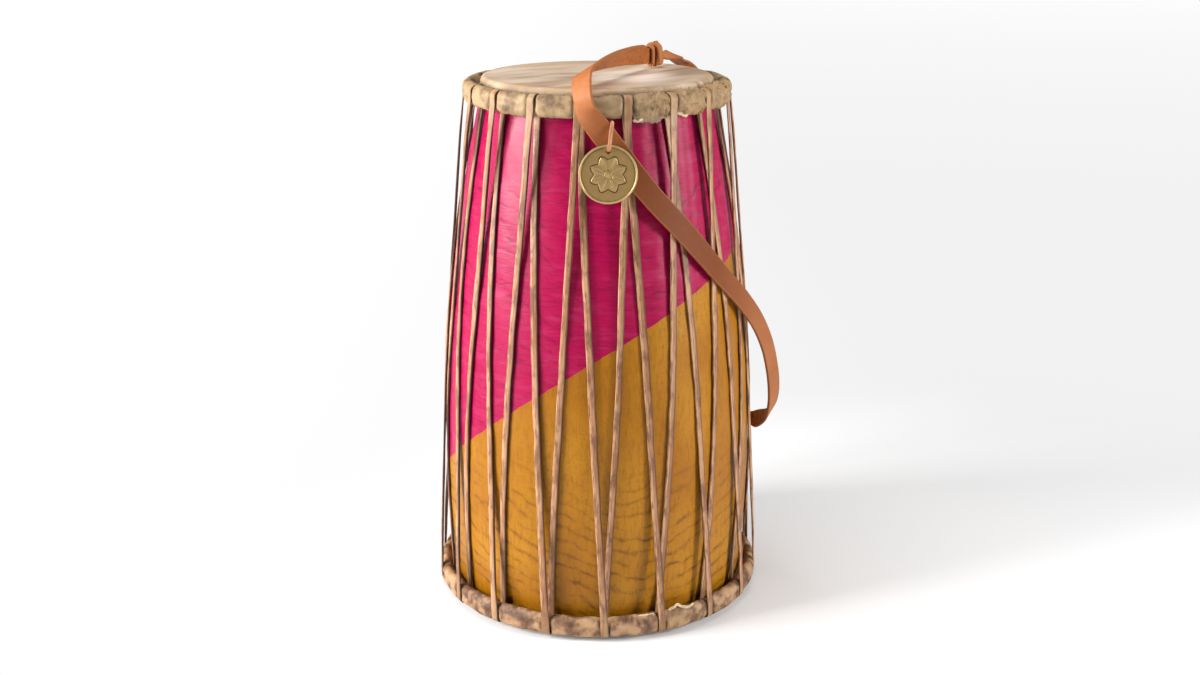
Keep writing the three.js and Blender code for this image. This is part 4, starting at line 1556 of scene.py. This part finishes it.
@dataclass(frozen=True)
class Binding:
    """A flat strip wound round a flat core: the knot in the strap, or the tie on the lacing's ends."""

    name: str
    centre: Array
    axis: Array
    wide: Array
    core: float
    core_thickness: float
    width: float
    thickness: float
    turns: float
    spacing: float = 0.6
    clearance: float = 0.5
    corner: float = 0.7
    tilt: float = 0.0
    swell: float = 0.0
    turn_points: int = 64
    pace: float = 3.0

    def build(self) -> Piece:
        """Builds the winding: a strip on a stadium round the core, which climbs along the axis as it turns.

        Along the straight sides it moves as tanh(pace cos t), for an even pace round the stadium. The later
        turns stand out further by the swell, and the whole leans by the tilt.

        Returns:
            The winding, with the layers along, across and rise.
        """
        deep = np.cross(self.axis, self.wide)
        lap = np.linspace(0, self.turns, round(self.turns * self.turn_points) + 1)
        angle = np.radians(-90 + 360 * np.mod(lap, 0.5))
        sign = np.where(np.mod(lap, 1) < 0.5, 1.0, -1.0)
        first = self.core_thickness / 2 + self.clearance + self.thickness / 2
        radius = first + self.swell * lap / self.turns
        face = self.wide * (sign * np.cos(angle))[:, None] + deep * (sign * np.sin(angle))[:, None]
        straight = self.core / 2 * np.tanh(self.pace * np.cos(angle)) / np.tanh(self.pace)
        climb = (self.width + self.spacing) * (lap - self.turns / 2)
        lean = self.tilt * sign * np.cos(angle)
        at = self.centre + self.axis * (climb + lean)[:, None]
        at = at + self.wide * (sign * straight)[:, None] + face * radius[:, None]
        along = headings(at)
        across = unit(self.axis - along * (along @ self.axis)[:, None])
        out = np.cross(along, across)
        flip = np.sign(np.sum(out * face, axis=1, keepdims=True))
        section = FlatSection.make(3, 4)
        grid = section.carry(at, across * flip, out * flip, self.width, self.thickness, self.corner)
        return swept_piece(self.name, grid, section.layers(distance_along(at)))


# The strap

FINE_STEPS = 60

# Places of the two lengths over the head: x, y, the height over the edge's rest, and the face's way
FRONT_OVER_HEAD = np.array([
    (38.8, 14, 4.8, -0.81, 0.37, 0.46),
    (29.4, -10, 7, -0.78, 0.33, 0.53),
    (19.7, -34, 8, -0.75, 0.3, 0.59),
    (10, -58, 8.4, -0.69, 0.28, 0.67),
    (0.2, -82, 7.7, -0.6, 0.24, 0.77),
    (-7.6, -102, 6, -0.53, 0.12, 0.84),
    (-12, -116, 2.2, -0.58, -0.36, 0.73),
    (-12.4, -125, -5.8, -0.62, -0.7, 0.36),
])
BACK_OVER_HEAD = np.array([
    (63.2, 62.1, -1, 0.62, -0.44, 0.65),
    (67.6, 69, -1.4, 0.5, -0.32, 0.8),
    (71.2, 75.8, -1.8, 0.38, -0.16, 0.91),
    (74.2, 82.4, -3.4, 0.3, 0.06, 0.95),
])
# Places of the long length outside the lacing: turn, depth below the head, distance off, and the face's way
FRONT_BESIDE = np.array([
    (-4.9, 5, 5.9, -0.64, -0.76, 0.12),
    (-3.7, 15, 4.4, -0.48, -0.87, 0.04),
    (-0.8, 25, 2, -0.2, -0.98, 0.03),
    (3.7, 38, 0.5, 0.03, -1, 0.06),
    (11.2, 60, 0, 0.19, -0.98, 0.08),
    (21, 88, 0, 0.36, -0.93, 0.1),
    (32.6, 117, 0, 0.54, -0.84, 0.1),
    (43, 143, 0, 0.68, -0.73, 0.1),
    (52.8, 166, 0, 0.78, -0.62, 0.1),
    (61.4, 184, 1, 0.84, -0.53, 0.1),
    (69, 203, 5, 0.86, -0.5, 0.08),
    (75.4, 223, 10, 0.86, -0.5, 0.05),
    (80.6, 246, 15, 0.85, -0.53, 0),
    (84.2, 266, 18, 0.83, -0.56, 0),
    (87.2, 290.5, 20.5, 0.82, -0.57, -0.04),
    (89.6, 311, 20.3, 0.84, -0.5, -0.2),
    (92.6, 327, 17.5, 0.84, -0.22, -0.5),
    (97, 337.5, 12, 0.8, 0.1, -0.6),
    (101.5, 342.5, 7.2, 0.9, 0.2, -0.35),
])
# Places of the short length over the back edge: turn, distance outside the edge, depth, and the face's way
BACK_OVER_EDGE = np.array([
    (139.4, -5.2, -2.4, 0.34, 0.4, 0.85),
    (138, 4, 3.2, 0.54, 0.6, 0.59),
    (135.4, 7.6, 11.6, 0.69, 0.71, 0.15),
    (133.2, 7.4, 20, 0.74, 0.67, 0),
    (131.2, 6.4, 29, 0.74, 0.67, 0),
])


@dataclass(frozen=True)
class Path:
    """A band's stations: its middle, the ways across it and out of its face, and the distance run."""

    at: Array
    across: Array
    face: Array
    run: Array

    @classmethod
    def through(cls, places: Array, faces: Array, spacing: float) -> Path:
        """Stations evenly spaced on a smooth curve through places, turned to face the given ways.

        Args:
            places: points that the band passes through.
            faces: which way its outer face looks at each.
            spacing: distance between stations.

        Returns:
            The path.
        """
        fine = np.linspace(0, 1, FINE_STEPS * len(places))
        share, run = evenly(spline(places, fine), spacing)
        at = spline(places, share)
        along = headings(at)
        across = unit(np.cross(spline(unit(faces), share), along))
        return cls(at, across, np.cross(along, across), run)


@dataclass(frozen=True)
class Strap:
    """The carrying strap: a long length over the front, a short length over the back, and a knot."""

    lacing: Lacing
    lacing_half: float = 1.3
    clearance: float = 0.5
    width: float = 20.0
    thickness: float = 2.6
    corner: float = 0.85
    spacing: float = 1.6
    uneven: float = 0.018
    uneven_length: float = 45.0
    wander: float = 0.25
    wander_length: float = 60.0
    knot: Triple = (52.0, 46.0, 501.8)
    knot_bearing: float = 55.0
    knot_reach: float = 11.04
    knot_tuck: float = 0.3
    knot_strap_width: float = 14.0
    front_gather: float = 30.0
    back_gather: float = 80.0
    back_pinch: float = 0.48
    pinch_off: float = 3.0
    pinch_reach: float = 14.0
    back_end_width: float = 8.0
    edge_rest: float = 500.3
    edge_inset: float = 0.3
    taper: float = 22.0
    eye_radius: float = 5.25
    eye_width: float = 11.4
    eye_thickness: float = 1.5
    eye_wrap: float = 300.0
    eye_points: int = 40
    high_eye_lace: int = 7
    high_eye_drop: float = 40.0
    hang_gap: float = 0.3
    hang_ends: Span = (3.0, -4.0)

    @property
    def knot_axis(self) -> Array:
        """The way of the strap through the knot."""
        bearing = math.radians(self.knot_bearing)
        return np.array([math.cos(bearing), math.sin(bearing), 0])

    @property
    def knot_face(self) -> Array:
        """The way that the strap's front looks in the knot."""
        return np.cross(self.knot_axis, UP)

    def lacing_reach(self, height: float) -> Array:
        """Outermost radius of the lacing.

        Args:
            height: a height on the drum.

        Returns:
            The radius there.
        """
        lacing = self.lacing
        falling_run = lacing.taut(lacing.top.over_roll(0)[-1], lacing.bottom.over_roll(0)[0])
        runs = [run[np.argsort(run[:, 1])] for run in (lacing.rising(0), falling_run)]
        return np.maximum(*[np.interp(height, run[:, 1], run[:, 0]) for run in runs]) + self.lacing_half

    def eye_place(self, lace: int, height: float) -> tuple[Array, Array, Array]:
        """A place on a lacing run.

        Args:
            lace: the top lace that the run rises to.
            height: its height on the drum.

        Returns:
            The point, the way out of the drum, and the run's own way.
        """
        run = self.lacing.rising(lace - 1)
        heights = height + np.array([0.0, -2.0, 2.0])
        radius, turn = (np.interp(heights, run[:, 1], run[:, column]) for column in (0, 2))
        point, below, above = around(turn, radius, heights)
        return point, unit(point * (1, 1, 0)), unit(above - below)

    def low_eye(self) -> tuple[Array, Array, Array]:
        """The place of the lower eye."""
        return self.eye_place(self.lacing.eye_lace, self.lacing.eye_height)

    def high_eye(self) -> tuple[Array, Array, Array]:
        """The place of the upper eye."""
        return self.eye_place(self.high_eye_lace, self.lacing.barrel.height - self.high_eye_drop)

    def in_knot(self, along: float) -> Array:
        """A place on the strap's way through the knot."""
        return np.array(self.knot) + self.knot_axis * along

    def on_lacing(self, turn: float, drop: float, off: float) -> Array:
        """A place of the middle of the strap outside the lacing.

        Args:
            turn: its turn.
            drop: its depth below the head.
            off: the distance between the lacing and the strap, apart from the clearance.

        Returns:
            The point.
        """
        height = self.lacing.barrel.height - drop
        radius = self.lacing_reach(height) + self.clearance + self.thickness / 2 + off
        return around(turn, radius, height)

    def front_path(self) -> Path:
        """The long length: from the knot across the head, over the front edge and round to the lower eye.

        It stands leaning over the head, folds with half a twist at the front edge, lies on the lacing, bows
        out at the right and comes back round the lacing run in an eye.

        Returns:
            The path, with the eye.
        """
        low, out, way = self.low_eye()
        places = np.concatenate([
            [self.in_knot(-self.knot_tuck), self.in_knot(-self.knot_reach)],
            FRONT_OVER_HEAD[:, :3] + (0, 0, self.edge_rest),
            [self.on_lacing(*row[:3]) for row in FRONT_BESIDE],
            [low + out * self.eye_radius],
        ])
        faces = np.concatenate([[-self.knot_face] * 2, FRONT_OVER_HEAD[:, 3:], FRONT_BESIDE[:, 3:], [out]])
        return self._with_eye(Path.through(places, faces, self.spacing), low, out, way)

    def back_path(self) -> Path:
        """The short length: from the knot over the back edge to the upper eye, which it hangs against.

        Returns:
            The path.
        """
        high, out, way = self.high_eye()
        hang = high + out * (self.eye_radius + self.hang_gap)
        top = self.lacing.barrel.height
        turn, off, depth = BACK_OVER_EDGE[:, :3].T
        edge_radius = float(self.lacing_reach(top)) - self.edge_inset
        places = np.concatenate([
            [self.in_knot(self.knot_tuck), self.in_knot(self.knot_reach)],
            BACK_OVER_HEAD[:, :3] + (0, 0, self.edge_rest),
            around(turn, edge_radius + off, top - depth),
            [hang + way * end for end in self.hang_ends],
        ])
        ways = [[self.knot_face] * 2, BACK_OVER_HEAD[:, 3:], BACK_OVER_EDGE[:, 3:], [out] * 2]
        faces = np.concatenate(ways)
        return Path.through(places, faces, self.spacing)

    def _with_eye(self, path: Path, centre: Array, out: Array, axis: Array) -> Path:
        """Carries a path on round the lacing run.

        The eye is an arc about the run, from the outside round behind it.

        Args:
            path: the strap as far as the outside of the run.
            centre: the middle of the eye.
            out: the way from the drum's axis to it.
            axis: the way of the lacing run.

        Returns:
            The longer path.
        """
        angle = np.radians(np.linspace(0, self.eye_wrap, self.eye_points))[1:, None]
        side = unit(np.cross(axis, out))
        face = np.cos(angle) * out + np.sin(angle) * side
        at = centre + face * self.eye_radius
        across = np.cross(face, np.cos(angle) * side - np.sin(angle) * out)
        run = path.run[-1] + self.eye_radius * angle[:, 0]
        parts = ((path.at, at), (path.across, across), (path.face, face), (path.run, run))
        return Path(*[np.concatenate(pair) for pair in parts])

    def build_front(self) -> Piece:
        """Builds the long length with its eye: a rounded band, narrower in the knot and at the eye.

        Returns:
            The band.
        """
        path = self.front_path()
        to_eye = path.run[-1] - self.eye_radius * math.radians(self.eye_wrap) - path.run
        return self._band("strap_long_length", path, to_eye, self.eye_width, self.front_gather)

    def build_back(self) -> Piece:
        """Builds the short length, pinched beside the knot, which ends flat under the winding at its eye.

        Returns:
            The band.
        """
        path = self.back_path()
        past = (path.run - self.knot_reach - self.pinch_off) / self.pinch_reach
        squeeze = 1 - self.back_pinch * np.exp(-past ** 2)
        to_eye = path.run[-1] - path.run
        return self._band("strap_short_length", path, to_eye, self.back_end_width, self.back_gather, squeeze)

    def _band(
        self, name: str, path: Path, to_eye: Array, eye_width: float, gather: float, squeeze: Values = 1.0
    ) -> Piece:
        """Carries the strap's section along a path.

        Args:
            name: the piece's name.
            path: its stations.
            to_eye: distance from each station to the eye, negative inside it.
            eye_width: the width there.
            gather: the distance over which it widens from the knot.
            squeeze: share of the width that is left at each station.

        Returns:
            The band, with the layers along, across and rise.
        """
        from_knot = smoothstep(path.run, self.knot_reach, self.knot_reach + gather)
        near_eye = smoothstep(to_eye, 0, self.taper)
        width = np.minimum(
            self.knot_strap_width + (self.width - self.knot_strap_width) * from_knot,
            eye_width + (self.width - eye_width) * near_eye,
        )
        uneven = self.uneven * ripple(Seed.STRAP_WIDTH, path.run / self.uneven_length)
        width = width * squeeze * (1 + uneven)
        thickness = self.eye_thickness + (self.thickness - self.eye_thickness) * near_eye
        wander = self.wander * near_eye * ripple(Seed.STRAP_EDGE, path.run / self.wander_length)
        at = path.at + path.across * wander[:, None]
        section = FlatSection.make(6, 4)
        corner = min(self.corner, self.eye_thickness / 2)
        grid = section.carry(at, path.across, path.face, width, thickness, corner)
        return swept_piece(name, grid, section.layers(path.run))

    def knot_winding(self) -> Binding:
        """The knot that joins the two lengths: a strip wound round both.

        Returns:
            The winding.
        """
        return Binding(
            "strap_knot_winding", self.in_knot(-2.5), self.knot_axis, UP, core=11.0,
            core_thickness=self.thickness, width=4.6, thickness=2.4, turns=1.75, spacing=2.6, tilt=0.8,
            swell=1.2, corner=1.0,
        )

    def knot_loop(self) -> Binding:
        """The thick loop of the knot, on the side of the short length.

        Returns:
            The loop.
        """
        return Binding(
            "strap_knot_loop", self.in_knot(4.6) + (0, 0, 0.8), self.knot_axis, UP, core=9.0,
            core_thickness=5.0, width=8.4, thickness=3.4, turns=1.2, spacing=0.5, tilt=-1.6, swell=0.8,
            corner=1.6,
        )

    def eye_binding(self) -> Binding:
        """The turns of strip that hold the short length to the lacing run.

        Returns:
            The winding.
        """
        high, out, way = self.high_eye()
        return Binding(
            "strap_eye_winding", high + out * 2.3, way, unit(np.cross(way, out)), core=3.4,
            core_thickness=9.6, width=5.0, thickness=1.6, turns=2.1, spacing=0.4, clearance=0.3, corner=0.6,
        )


# The medallion

# The disc's edge from its front to its back: shares of the radius and of half the thickness
BEVEL = np.array([(1.0, 0.72), (1.012, 0.45), (1.012, -0.45), (1.0, -0.72), (0.985, -1.0)])


@dataclass(frozen=True)
class Medallion:
    """A stamped brass disc on a thin thong round the strap.

    Heights in its relief are shares of the rim's.
    """

    strap: Strap
    radius: float = 24.5
    thickness: float = 2.4
    rim: float = 1.1
    rim_groove: float = 0.3
    recess: float = 0.7
    overfill: float = 1.3
    proud: float = 0.15
    hole: float = 4.4
    hole_inset: float = 5.3
    hole_plain: Span = (3.2, 4.4)
    boss: float = 3.4
    boss_height: float = 0.75
    petal_count: int = 8
    petal_from: float = 4.2
    petal_length: float = 11.3
    petal_half: float = 5.2
    petal_height: float = 0.7
    petal_bend: float = 0.8
    vein_depth: float = 0.45
    vein_reach: Span = (0.04, 0.16)
    outline: float = 1.0
    outline_depth: float = 0.5
    least: float = 0.02
    lean: float = 4.5
    tag_drop: float = 40.4
    tag_below: float = 6.5
    tag_slant: float = 9.0
    thong: float = 2.0
    thong_width: float = 3.2
    thong_uneven: float = 0.04
    thong_points: int = 160
    thong_sides: int = 10
    thong_step: float = 0.5
    columns: int = 400
    rows: int = 150

    def section(self) -> tuple[Array, Array, Array, float]:
        """Where the thong goes round the strap.

        Returns:
            The place, the thong's way up, the strap's face, and how far up the strap's edge is.
        """
        path = self.strap.front_path()
        level = self.strap.lacing.barrel.height - self.tag_drop
        i = int(np.argmax(path.at[:, 2] < level))
        share = (path.at[i - 1, 2] - level) / (path.at[i - 1, 2] - path.at[i, 2])
        at = path.at[i - 1] + (path.at[i] - path.at[i - 1]) * share
        slant = math.radians(self.tag_slant)
        up = np.array([math.sin(slant), 0, math.cos(slant)])
        up = unit(up - path.face[i] * (up @ path.face[i]))
        tilt = abs(up @ path.across[i])
        reach = (self.strap.width / 2 + self.thong_width / 2 * math.sqrt(1 - tilt ** 2)) / tilt
        return at, up, path.face[i], reach

    @property
    def thong_off(self) -> float:
        """Distance of the thong from the middle of the strap."""
        return self.strap.thickness / 2 + self.strap.clearance + self.thong / 2

    @property
    def back_off(self) -> float:
        """Distance of the disc's back from the middle of the strap."""
        return self.thong_off + self.thong / 2 + self.strap.clearance

    def build_thong(self) -> Piece:
        """Builds the thong as a closed loop: an ellipse carried along a smooth ring of points.

        It goes up behind the strap, over its upper edge, down in front of the disc, back through the disc's
        hole and round the strap's lower edge.

        Returns:
            The loop, with the layers along, across and rise.
        """
        at, up, face, reach = self.section()
        bend = self.thong
        edge = reach + self.strap.clearance
        front = self.back_off + self.thickness + self.strap.clearance + self.thong / 2
        rows = np.array([
            (-edge, -self.thong_off), (0, -self.thong_off), (edge, -self.thong_off), (edge + bend / 2, 0),
            (edge, self.thong_off), (reach / 3, (self.thong_off + front) / 2),
            (self.hole_inset - self.tag_below + bend, front), (bend / 2 - self.tag_below, front),
            (-self.tag_below, self.back_off + self.thickness), (-self.tag_below, self.back_off),
            (-self.tag_below - bend / 2, self.thong_off), (-edge, self.thong_off), (-edge - bend / 2, 0),
        ])
        points = at + rows[:, :1] * up + rows[:, 1:] * face
        ring = np.concatenate([points[-3:], points, points[:4]])
        span = len(ring) - 1
        share = np.linspace(3 / span, (3 + len(points)) / span, self.thong_points + 1)[:-1]
        line = spline(ring, share)
        along = unit(np.roll(line, -1, axis=0) - np.roll(line, 1, axis=0))
        side = np.cross(up, face)
        rise = unit(np.cross(along, side))
        angle = np.radians(np.arange(self.thong_sides) * 360 / self.thong_sides)
        number = np.arange(self.thong_points)[:, None]
        uneven = 1 + self.thong_uneven * ripple(Seed.CORD, number / 9)
        flat = self.thong_width / 2 * np.cos(angle)[None, :, None] * side
        spoke = flat + self.thong / 2 * np.sin(angle)[None, :, None] * rise[:, None]
        grid = line[:, None] + spoke * uneven[:, None]
        layers = {"along": number * self.thong_step, "across": np.cos(angle)[None], "rise": np.ones((1, 1))}
        return swept_piece("medallion_cord", grid[:, ::-1], layers, is_loop=True)

    def relief(self, x: Array, y: Array) -> Array:
        """Height of the stamped front: a thin raised rim, and petals round a boss.

        The petals are outlined by a groove and fade out round the hole.

        Args:
            x: places across the disc, from its middle.
            y: places up the disc.

        Returns:
            Heights from 0 in the field to 1 on the rim, and below 0 in the groove.
        """
        far = np.hypot(x, y)
        petal_step = 2 * math.pi / self.petal_count
        off = np.mod(np.arctan2(x, y), petal_step) - petal_step / 2

        def petals(grow: float) -> tuple[Array, Array]:
            """Rounded petals.

            Args:
                grow: how much larger they are made, all round.

            Returns:
                Their height, and the share across each.
            """
            along = np.clip((far - self.petal_from) / (self.petal_length + grow), 0, 1)
            bend = self.petal_bend
            wide = self.petal_half * np.sin(math.pi * along ** bend) ** bend + grow
            across = np.abs(np.sin(off)) * far / np.maximum(wide, 1e-3)
            inside = (along > 0) & (along < 1)
            return np.sqrt(np.clip(1 - across ** 2, 0, 1)) * inside * (0.75 + 0.25 * along), across

        petal, across = petals(0.0)
        vein = 1 - self.vein_depth * falling(across, *self.vein_reach) * (petal > 0)
        boss = np.sqrt(np.clip(1 - (far / self.boss) ** 2, 0, 1))
        field = np.maximum(self.petal_height * petal * vein, self.boss_height * boss)
        inner = self.radius - self.rim
        outline = self.outline_depth * smoothstep(petals(self.outline)[0], 0, 0.5)
        outline = np.maximum(outline, self.rim_groove * np.exp(-((far - inner + 1.0) / 0.5) ** 2))
        to_hole = np.hypot(x, y - (self.radius - self.hole_inset))
        field = np.where(field > self.least, field, -outline) * smoothstep(to_hole, *self.hole_plain)
        field = field * falling(far, inner - 0.9, inner)
        rim = smoothstep(far, inner - 0.5, inner + 0.1)
        return np.where(rim > 0, np.maximum(field, rim), field)

    def build_disc(self) -> Piece:
        """Builds the disc with its hole as one closed surface.

        A Moebius map of a ring, (w + a) / (1 + a w), carries two concentric circles onto the rim and the
        off-centre hole. The columns are even round the rim, and the rows along the long side of the disc.

        Returns:
            The disc, with the layer relief.
        """
        near = (self.radius - self.hole_inset + self.hole / 2) / self.radius
        far = (self.radius - self.hole_inset - self.hole / 2) / self.radius
        shift = math.tanh((math.atanh(near) + math.atanh(far)) / 2)
        turn = np.exp(1j * np.arange(self.columns) * 2 * np.pi / self.columns)
        column = (turn - shift) / (1 - shift * turn)
        place = np.linspace(far, -1, self.rows)
        size = (shift - place) / (1 - shift * place)
        ring = size[:, None] * column[None]
        flat = (ring + shift) / (1 + shift * ring) * self.radius
        x, y = -flat.imag, flat.real
        half = self.thickness / 2
        rise = self.relief(x, y)
        front = half - self.recess + self.recess * np.maximum(rise, 0) * self.overfill
        front = np.minimum(front, half + self.proud)
        front[-1] = half * 0.95
        # The front, then the edge, then the flat back in fewer rows
        back = slice(-8, None, -6)
        edge_x, edge_y = BEVEL[:, :1] * x[-1:], BEVEL[:, :1] * y[-1:]
        edge_z = BEVEL[:, 1:] * half + 0 * edge_x
        grid_x = np.concatenate([x, edge_x, x[back]])
        grid_y = np.concatenate([y, edge_y, y[back]])
        grid_z = np.concatenate([front, edge_z, np.full_like(x[back], -half)])
        worn = np.concatenate([rise, np.full_like(edge_x, 0.9), np.full_like(x[back], 0.35)])
        # It hangs from the hole, leaning a little
        rest = self.hole / 2 - self.thong / 2 - self.strap.clearance
        local_y = grid_y - (self.radius - self.hole_inset + rest)
        tilt = math.radians(90 - self.lean)
        turned_y = local_y * math.cos(tilt) - grid_z * math.sin(tilt)
        turned_z = local_y * math.sin(tilt) + grid_z * math.cos(tilt)
        at, up, face, _ = self.section()
        hang = at - up * self.tag_below + face * (self.back_off + half)
        log.info("medallion hangs at %s", np.round(hang, 3))
        grid = np.stack([grid_x, turned_y, turned_z], axis=-1) + hang
        return swept_piece("medallion_disc", grid, {"relief": worn}, is_loop=True)


# The studio

WHITE = "#ffffff"


@dataclass(frozen=True)
class Lamp:
    """A soft rectangular light that looks at a place. Sizes are in metres and its power in watts."""

    name: str
    place: Triple
    aim: Triple
    size: Span
    power: float

    def build(self) -> None:
        """Adds the light to the scene."""
        lamp = bpy.data.lights.new(self.name, "AREA")
        lamp.shape = "RECTANGLE"
        lamp.size, lamp.size_y = self.size
        lamp.energy = self.power
        holder = bpy.data.objects.new(self.name, lamp)
        holder.location = self.place
        way = Vector(self.aim) - Vector(self.place)
        holder.rotation_euler = way.to_track_quat("-Z", "Y").to_euler()
        bpy.context.scene.collection.objects.link(holder)


LAMPS = (
    Lamp("key_left", (-1.45, -0.7, 0.85), (0, 0, 0.34), (0.34, 0.9), 24.0),
    Lamp("strip_left", (-1.57, -0.3, 0.78), (0, 0, 0.36), (0.36, 0.8), 29.0),
    Lamp("strip_right", (1.4, -0.6, 0.75), (0, 0, 0.34), (0.32, 0.75), 23.0),
    Lamp("soft_top", (-0.1, 0.05, 1.8), (0, 0, 0.3), (1.0, 1.0), 15.0),
)


@dataclass(frozen=True)
class Studio:
    """A pale floor, soft light from both sides and above, and the camera of the photograph.

    Sizes are in metres. The shaded floor goes over to white between the two distances of fade. The
    white is a little darker to the right, a soft painted shade, and evens out between the two distances
    of clear.
    """

    camera_place: Triple = (0.002611, -1.37344, 0.66234)
    camera_pitch: float = 72.9285
    lens: float = 45.2416
    sensor: float = 36.0
    floor_half: float = 12.0
    floor_lift: float = 0.07
    paper: str = "#e8e8e8"
    shadow_place: Triple = (0.34, -0.06, 0.0)
    fade: Span = (0.28, 0.75)
    sides: Span = (-0.5, 0.5)
    right_level: float = 0.885
    clear: Span = (2.0, 9.0)
    sky: float = 0.07

    def build(self) -> None:
        """Sets up the floor, the lights, the world and the camera."""
        self._floor()
        for lamp in LAMPS:
            lamp.build()
        self._world()
        self._camera()

    def _floor(self) -> None:
        """A plain floor that keeps the shadow near the drum and is white to the camera further out."""
        half = self.floor_half / MM
        corners = np.array([(-half, -half, 0), (half, -half, 0), (half, half, 0), (-half, half, 0)], float)
        floor = add_piece("studio_floor", corners, [(0, 1, 2, 3)])
        s = Shade(bpy.data.materials.new("matt_paper"))
        add = s.add
        camera, glossy, through = (
            add("LightPath", out=ray) for ray in ("Is Camera Ray", "Is Glossy Ray", "Is Transmission Ray")
        )
        seen = add("Math", (add("Math", (camera, glossy), **MOST), through), **MOST)
        paper = add("BsdfDiffuse", {"Color": self.paper})
        lift = add("Math", (seen, self.floor_lift), **TIMES)
        near = add("AddShader", (paper, add("Emission", {"Color": WHITE, "Strength": lift})))
        place = add("TexCoord", out="Object")
        side = add("SeparateXYZ", (place,))
        # Painted shade: the white floor glows a little less to the right
        level = add("MapRange", (side, *self.sides, 1.0, self.right_level), **SOFT)
        away = add("VectorMath", (place, self.shadow_place), out="Value", operation="DISTANCE")
        level = add("MapRange", (away, *self.clear, level, 1.0))
        white = add("Emission", {"Color": WHITE, "Strength": level})
        far = add("MapRange", (away, *self.fade, 0, 1), **SOFT)
        far = add("Math", (far, seen), **TIMES)
        add("OutputMaterial", {"Surface": add("MixShader", (far, near, white))})
        floor.data.materials.append(s.holder)

    def _world(self) -> None:
        """White behind the object, and a weak even light on it."""
        world = bpy.data.worlds.new("white_room")
        add = Shade(world).add
        camera, through = (add("LightPath", out=ray) for ray in ("Is Camera Ray", "Is Transmission Ray"))
        level = add("MapRange", (add("Math", (camera, through), **MOST), 0, 1, self.sky, 1.0))
        add("OutputWorld", {"Surface": add("Background", {"Color": WHITE, "Strength": level})})
        bpy.context.scene.world = world

    def _camera(self) -> None:
        """The camera of the photograph."""
        camera = bpy.data.cameras.new("photo_camera")
        camera.lens = self.lens
        camera.sensor_width = self.sensor
        holder = bpy.data.objects.new("photo_camera", camera)
        holder.location = self.camera_place
        holder.rotation_euler = (math.radians(self.camera_pitch), 0, 0)
        bpy.context.scene.collection.objects.link(holder)
        bpy.context.scene.camera = holder
        bpy.context.scene.view_settings.view_transform = "Standard"


def main() -> None:
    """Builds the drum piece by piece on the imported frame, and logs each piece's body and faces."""
    logging.basicConfig(level=logging.INFO, format="%(name)s: %(message)s")
    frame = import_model()
    Studio().build()
    barrel = Barrel()
    top = DrumEnd(barrel, is_top=True)
    bottom = DrumEnd(barrel, is_top=False)
    lacing = Lacing(barrel, top, bottom)
    strap = Strap(lacing)
    medallion = Medallion(strap)
    thong = Thong().make()
    leather = Leather().make()
    pale_thong = PALE_THONG.make()
    cane = BareCane().make()

    dress(barrel.build(), PaintedWood().make(), Body.DRUM, Slot.PAINT, "drum_shell")
    dress(Head(top, "top_skin").build(), TOP_HIDE.make(), Body.DRUM, Slot.HIDE, "top_head")
    bottom_skin = Head(bottom, "bottom_skin", ragged_turns=(14.0, 40.0), ragged=0.6).build()
    dress(bottom_skin, BOTTOM_HIDE.make(), Body.DRUM, Slot.HIDE, "bottom_head")
    pale_hide, dull_hide = SCRAP_HIDE.make(), FLAP_HIDE.make()
    for scrap in SCRAPS:
        is_flap = scrap.name.endswith("flap")
        dress(scrap.build(), dull_hide if is_flap else pale_hide, Body.DRUM, Slot.HIDE)
    for node in ("top_hoop", "bottom_hoop"):
        hoop = frame["nodes"][node]
        hoop.data.materials.clear()
        hoop.data.materials.append(cane)
    dress(lacing.build(), thong, Body.DRUM, Slot.RAWHIDE, "lacing_thong")
    dress(lacing.tie().build(), thong, Body.DRUM, Slot.RAWHIDE, "lacing_knot")
    dress(strap.build_front(), leather, Body.STRAP, Slot.LEATHER, "strap_front")
    dress(strap.build_back(), leather, Body.STRAP, Slot.LEATHER, "strap_back")
    dress(strap.knot_winding().build(), leather, Body.STRAP, Slot.LEATHER, "strap_knot")
    dress(strap.knot_loop().build(), leather, Body.STRAP, Slot.LEATHER)
    dress(strap.eye_binding().build(), leather, Body.STRAP, Slot.LEATHER)
    dress(medallion.build_thong(), pale_thong, Body.STRAP, Slot.PALE_LEATHER, "medallion_thong")
    dress(medallion.build_disc(), AgedBrass().make(), Body.MEDALLION, Slot.BRASS, "medallion")


if __name__ == "__main__":
    main()
